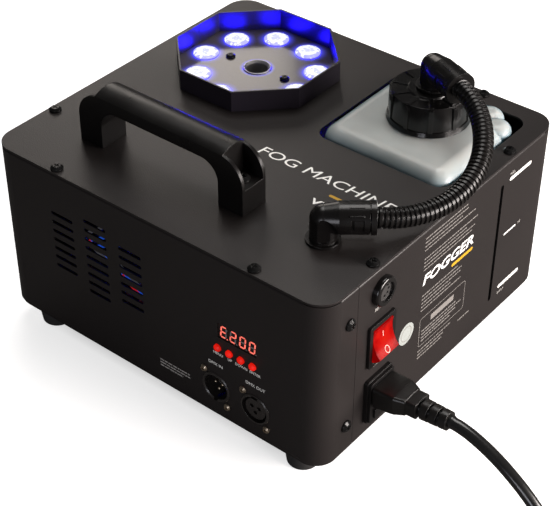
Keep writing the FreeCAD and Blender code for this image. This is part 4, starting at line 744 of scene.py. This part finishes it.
ROCKER_LO, ROCKER_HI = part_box("power_rocker")
ROCKER_MID = (ROCKER_LO + ROCKER_HI) / 2
ON_W, ON_STEP, ON_START = 0.56 * MM, 0.7 * MM, 3.2 * MM
on_low = ROCKER_MID.z + ON_START
on_rocker("rocker_on_mark", [bar(ROCKER_MID.y - ON_W / 2, on_low + ON_STEP * k, ON_W, ON_STEP)
                             for k in range(6)], "ink_pink")
OFF_DROP = 5.6 * MM
on_rocker("rocker_off_mark", [[(ROCKER_MID.y + y, ROCKER_MID.z - OFF_DROP + z) for y, z in quad]
                              for quad in annulus(1.75 * MM, 2.2 * MM, 32)], "ink_pink")

# The hose between the lid and the tank, as a free copy of the CAD hose, which is hidden
hose_mesh = NODES["corrugated_hose"].data.copy()


hose = bpy.data.objects.new("hose", hose_mesh)
bpy.context.scene.collection.objects.link(hose)
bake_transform(hose)
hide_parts("corrugated_hose")

# The pump's return spring as a copy on the machine body; the CAD spring is hidden
spring = bpy.data.objects.new("return_spring", NODES["pump_spring"].data.copy())
bpy.context.scene.collection.objects.link(spring)
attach(spring, "machine")
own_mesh(spring)
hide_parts("pump_spring")

# Display digits: the segments each one lights, and its slant
SEGMENTS = {"E": "afged", "2": "abged", "0": "abcdef"}
LEAN = 0.09


def digit_outlines(w, h, t, names):
    """Pointed segments with a thin gap between neighbours."""
    gap, e = 0.14 * t, t / 2
    left, right, low, mid, high = e, w - e, e, h / 2, h - e
    ends = {"a": (left, right, high), "g": (left, right, mid), "d": (left, right, low),
            "f": (mid, high, left), "b": (mid, high, right), "e": (low, mid, left), "c": (low, mid, right)}
    out = []
    for s in names:
        start, stop, level = ends[s]
        start, stop = start + gap, stop - gap
        pts = [(start, level), (start + e, level - e), (stop - e, level - e),
               (stop, level), (stop - e, level + e), (start + e, level + e)]
        out.append(pts if s in "agd" else [(y, x) for x, y in reversed(pts)])
    return out


def window_digits(reading="E200"):
    """Four seven-segment digits just inside the display window."""
    w, h, t = 5.3 * MM, 9.6 * MM, 1.15 * MM
    pitch = 7.72 * MM
    lo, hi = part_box("display_module")
    mid = (lo + hi) / 2
    x0 = mid.x - (3 * pitch + w) / 2
    on, off = [], []
    for k, ch in enumerate(reading):
        left = x0 + k * pitch
        dark = [s for s in "abcdefg" if s not in SEGMENTS[ch]]
        for group, names in ((on, SEGMENTS[ch]), (off, dark)):
            for pts in digit_outlines(w, h, t, names):
                group.append([(left + x + LEAN * y, y) for x, y in pts])
        dot = [(left + w + 0.75 * MM + x, 0.4 * MM + y) for x, y in disc(0.5 * MM, 12)]
        (on if k == 0 else off).append(dot)
    stand = Matrix(((1, 0, 0), (0, 0, 1), (0, -1, 0))).transposed().to_4x4()
    for name, group, mat in (("digits_lit", on, "segment"), ("digits_dark", off, "segment_off")):
        obj = solid_from(name, group, PRINT_T, MATS[mat])
        obj.data.transform(Matrix.Translation((0, lo.y - PRINT_GAP, mid.z - h / 2)) @ stand)
        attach(obj, "machine")


window_digits()


# ---------------------------------------------------------------- floor, light, camera

def floor_mat():
    """White sweep: bright to the eye, calmer in reflections so the dark case keeps its tone; the glow fades
    out beneath the machine as a painted shadow.
    """
    t = Tree("floor")
    path = t.nt.nodes.new("ShaderNodeLightPath")
    cloud = t.noise(1.5, 2.0)
    bright = t.mix(cloud, (0.90, 0.90, 0.90), (0.93, 0.93, 0.93))
    calm = (0.16, 0.155, 0.15)
    dist = t.nt.nodes.new("ShaderNodeVectorMath")
    dist.operation = "LENGTH"
    t.link(t.co, dist.inputs[0])
    far = dist.outputs["Value"]
    # Painted shadow: the camera glow and bright tone are taken away over the machine's footprint.
    painted_shadow_box = [t.span(t.math("ABSOLUTE", t.axis(k)), 0.09, 0.125, 1.0, 0.0) for k in (0, 1)]
    clear = t.math("SUBTRACT", 1.0, t.math("MULTIPLY", *painted_shadow_box))
    seen = t.math("MULTIPLY", path.outputs["Is Camera Ray"], clear)
    t.set(color=t.mix(seen, calm, bright), rough=0.9, spec=0.0,
          glow=(1, 1, 1), power=t.math("MULTIPLY", seen, t.span(far, 0.45, 1.6, 0.72, 1.0)))
    return t.mat


FLOOR, FLOOR_T, FLOOR_GAP = 6.0, 0.01, 0.0002
floor = solid_from("floor", [bar(-FLOOR, -FLOOR, 2 * FLOOR, 2 * FLOOR)], FLOOR_T, floor_mat())
floor.data.transform(Matrix.Translation((0, 0, -FLOOR_T - FLOOR_GAP)))

# World: white to the camera, nearly dark to everything else
ROOM = 0.06
world = bpy.data.worlds.new("studio")
bpy.context.scene.world = world
world.use_nodes = True
wt = world.node_tree
wt.nodes.clear()
w_out = wt.nodes.new("ShaderNodeOutputWorld")
w_bg = wt.nodes.new("ShaderNodeBackground")
w_eye = wt.nodes.new("ShaderNodeBackground")
w_mix = wt.nodes.new("ShaderNodeMixShader")
w_path = wt.nodes.new("ShaderNodeLightPath")
w_bg.inputs["Color"].default_value = (1.0, 0.98, 0.97, 1)
w_bg.inputs["Strength"].default_value = ROOM
w_eye.inputs["Color"].default_value = (1, 1, 1, 1)
w_eye.inputs["Strength"].default_value = 1.0
wt.links.new(w_path.outputs["Is Camera Ray"], w_mix.inputs[0])
wt.links.new(w_bg.outputs[0], w_mix.inputs[1])
wt.links.new(w_eye.outputs[0], w_mix.inputs[2])
wt.links.new(w_mix.outputs[0], w_out.inputs[0])


def soft_light(name, place, size, power, tone):
    """Rectangular soft light aimed at the middle of the machine."""
    data = bpy.data.lights.new(name, "AREA")
    data.shape = "RECTANGLE"
    data.size, data.size_y = size
    data.energy = power
    data.color = tone
    obj = bpy.data.objects.new(name, data)
    bpy.context.scene.collection.objects.link(obj)
    obj.location = place
    obj.rotation_euler = (Vector((0, 0, 0.10)) - Vector(place)).to_track_quat("-Z", "Y").to_euler()


soft_light("key_back", (-1.50, 1.28, 1.05), (0.8, 0.7), 5.4, (1.0, 0.92, 0.85))
soft_light("key_top", (-0.3, 0.5, 1.7), (0.9, 0.9), 14, (1.0, 0.97, 0.94))
soft_light("side_right", (1.7, 0.5, 0.50), (1.4, 0.8), 74, (1.0, 0.92, 0.88))
soft_light("fill_front", (0.7, -1.9, 0.35), (0.7, 0.7), 8, (0.92, 0.92, 1.0))

# Camera: angles in degrees, distance in metres, lens and sensor in millimetres
AZIMUTH, ELEVATION, DISTANCE, ROLL = 38.70, 37.98, 1.0451, 0.27
FOCAL, SENSOR = 96.0, 36.0
AIM = Vector((0.0030, -0.0065, 0.0511))
a, e = math.radians(AZIMUTH), math.radians(ELEVATION)
away = Vector((math.sin(a) * math.cos(e), -math.cos(a) * math.cos(e), math.sin(e)))
cam_data = bpy.data.cameras.new("camera")
cam_data.lens = FOCAL
cam_data.sensor_width = SENSOR
cam_data.clip_start = 0.01
cam = bpy.data.objects.new("camera", cam_data)
bpy.context.scene.collection.objects.link(cam)
turn = away.to_track_quat("Z", "Y").to_matrix().to_4x4() @ Matrix.Rotation(math.radians(ROLL), 4, "Z")
cam.matrix_world = Matrix.Translation(AIM + away * DISTANCE) @ turn
bpy.context.scene.camera = cam
bpy.context.scene.view_settings.view_transform = "Standard"
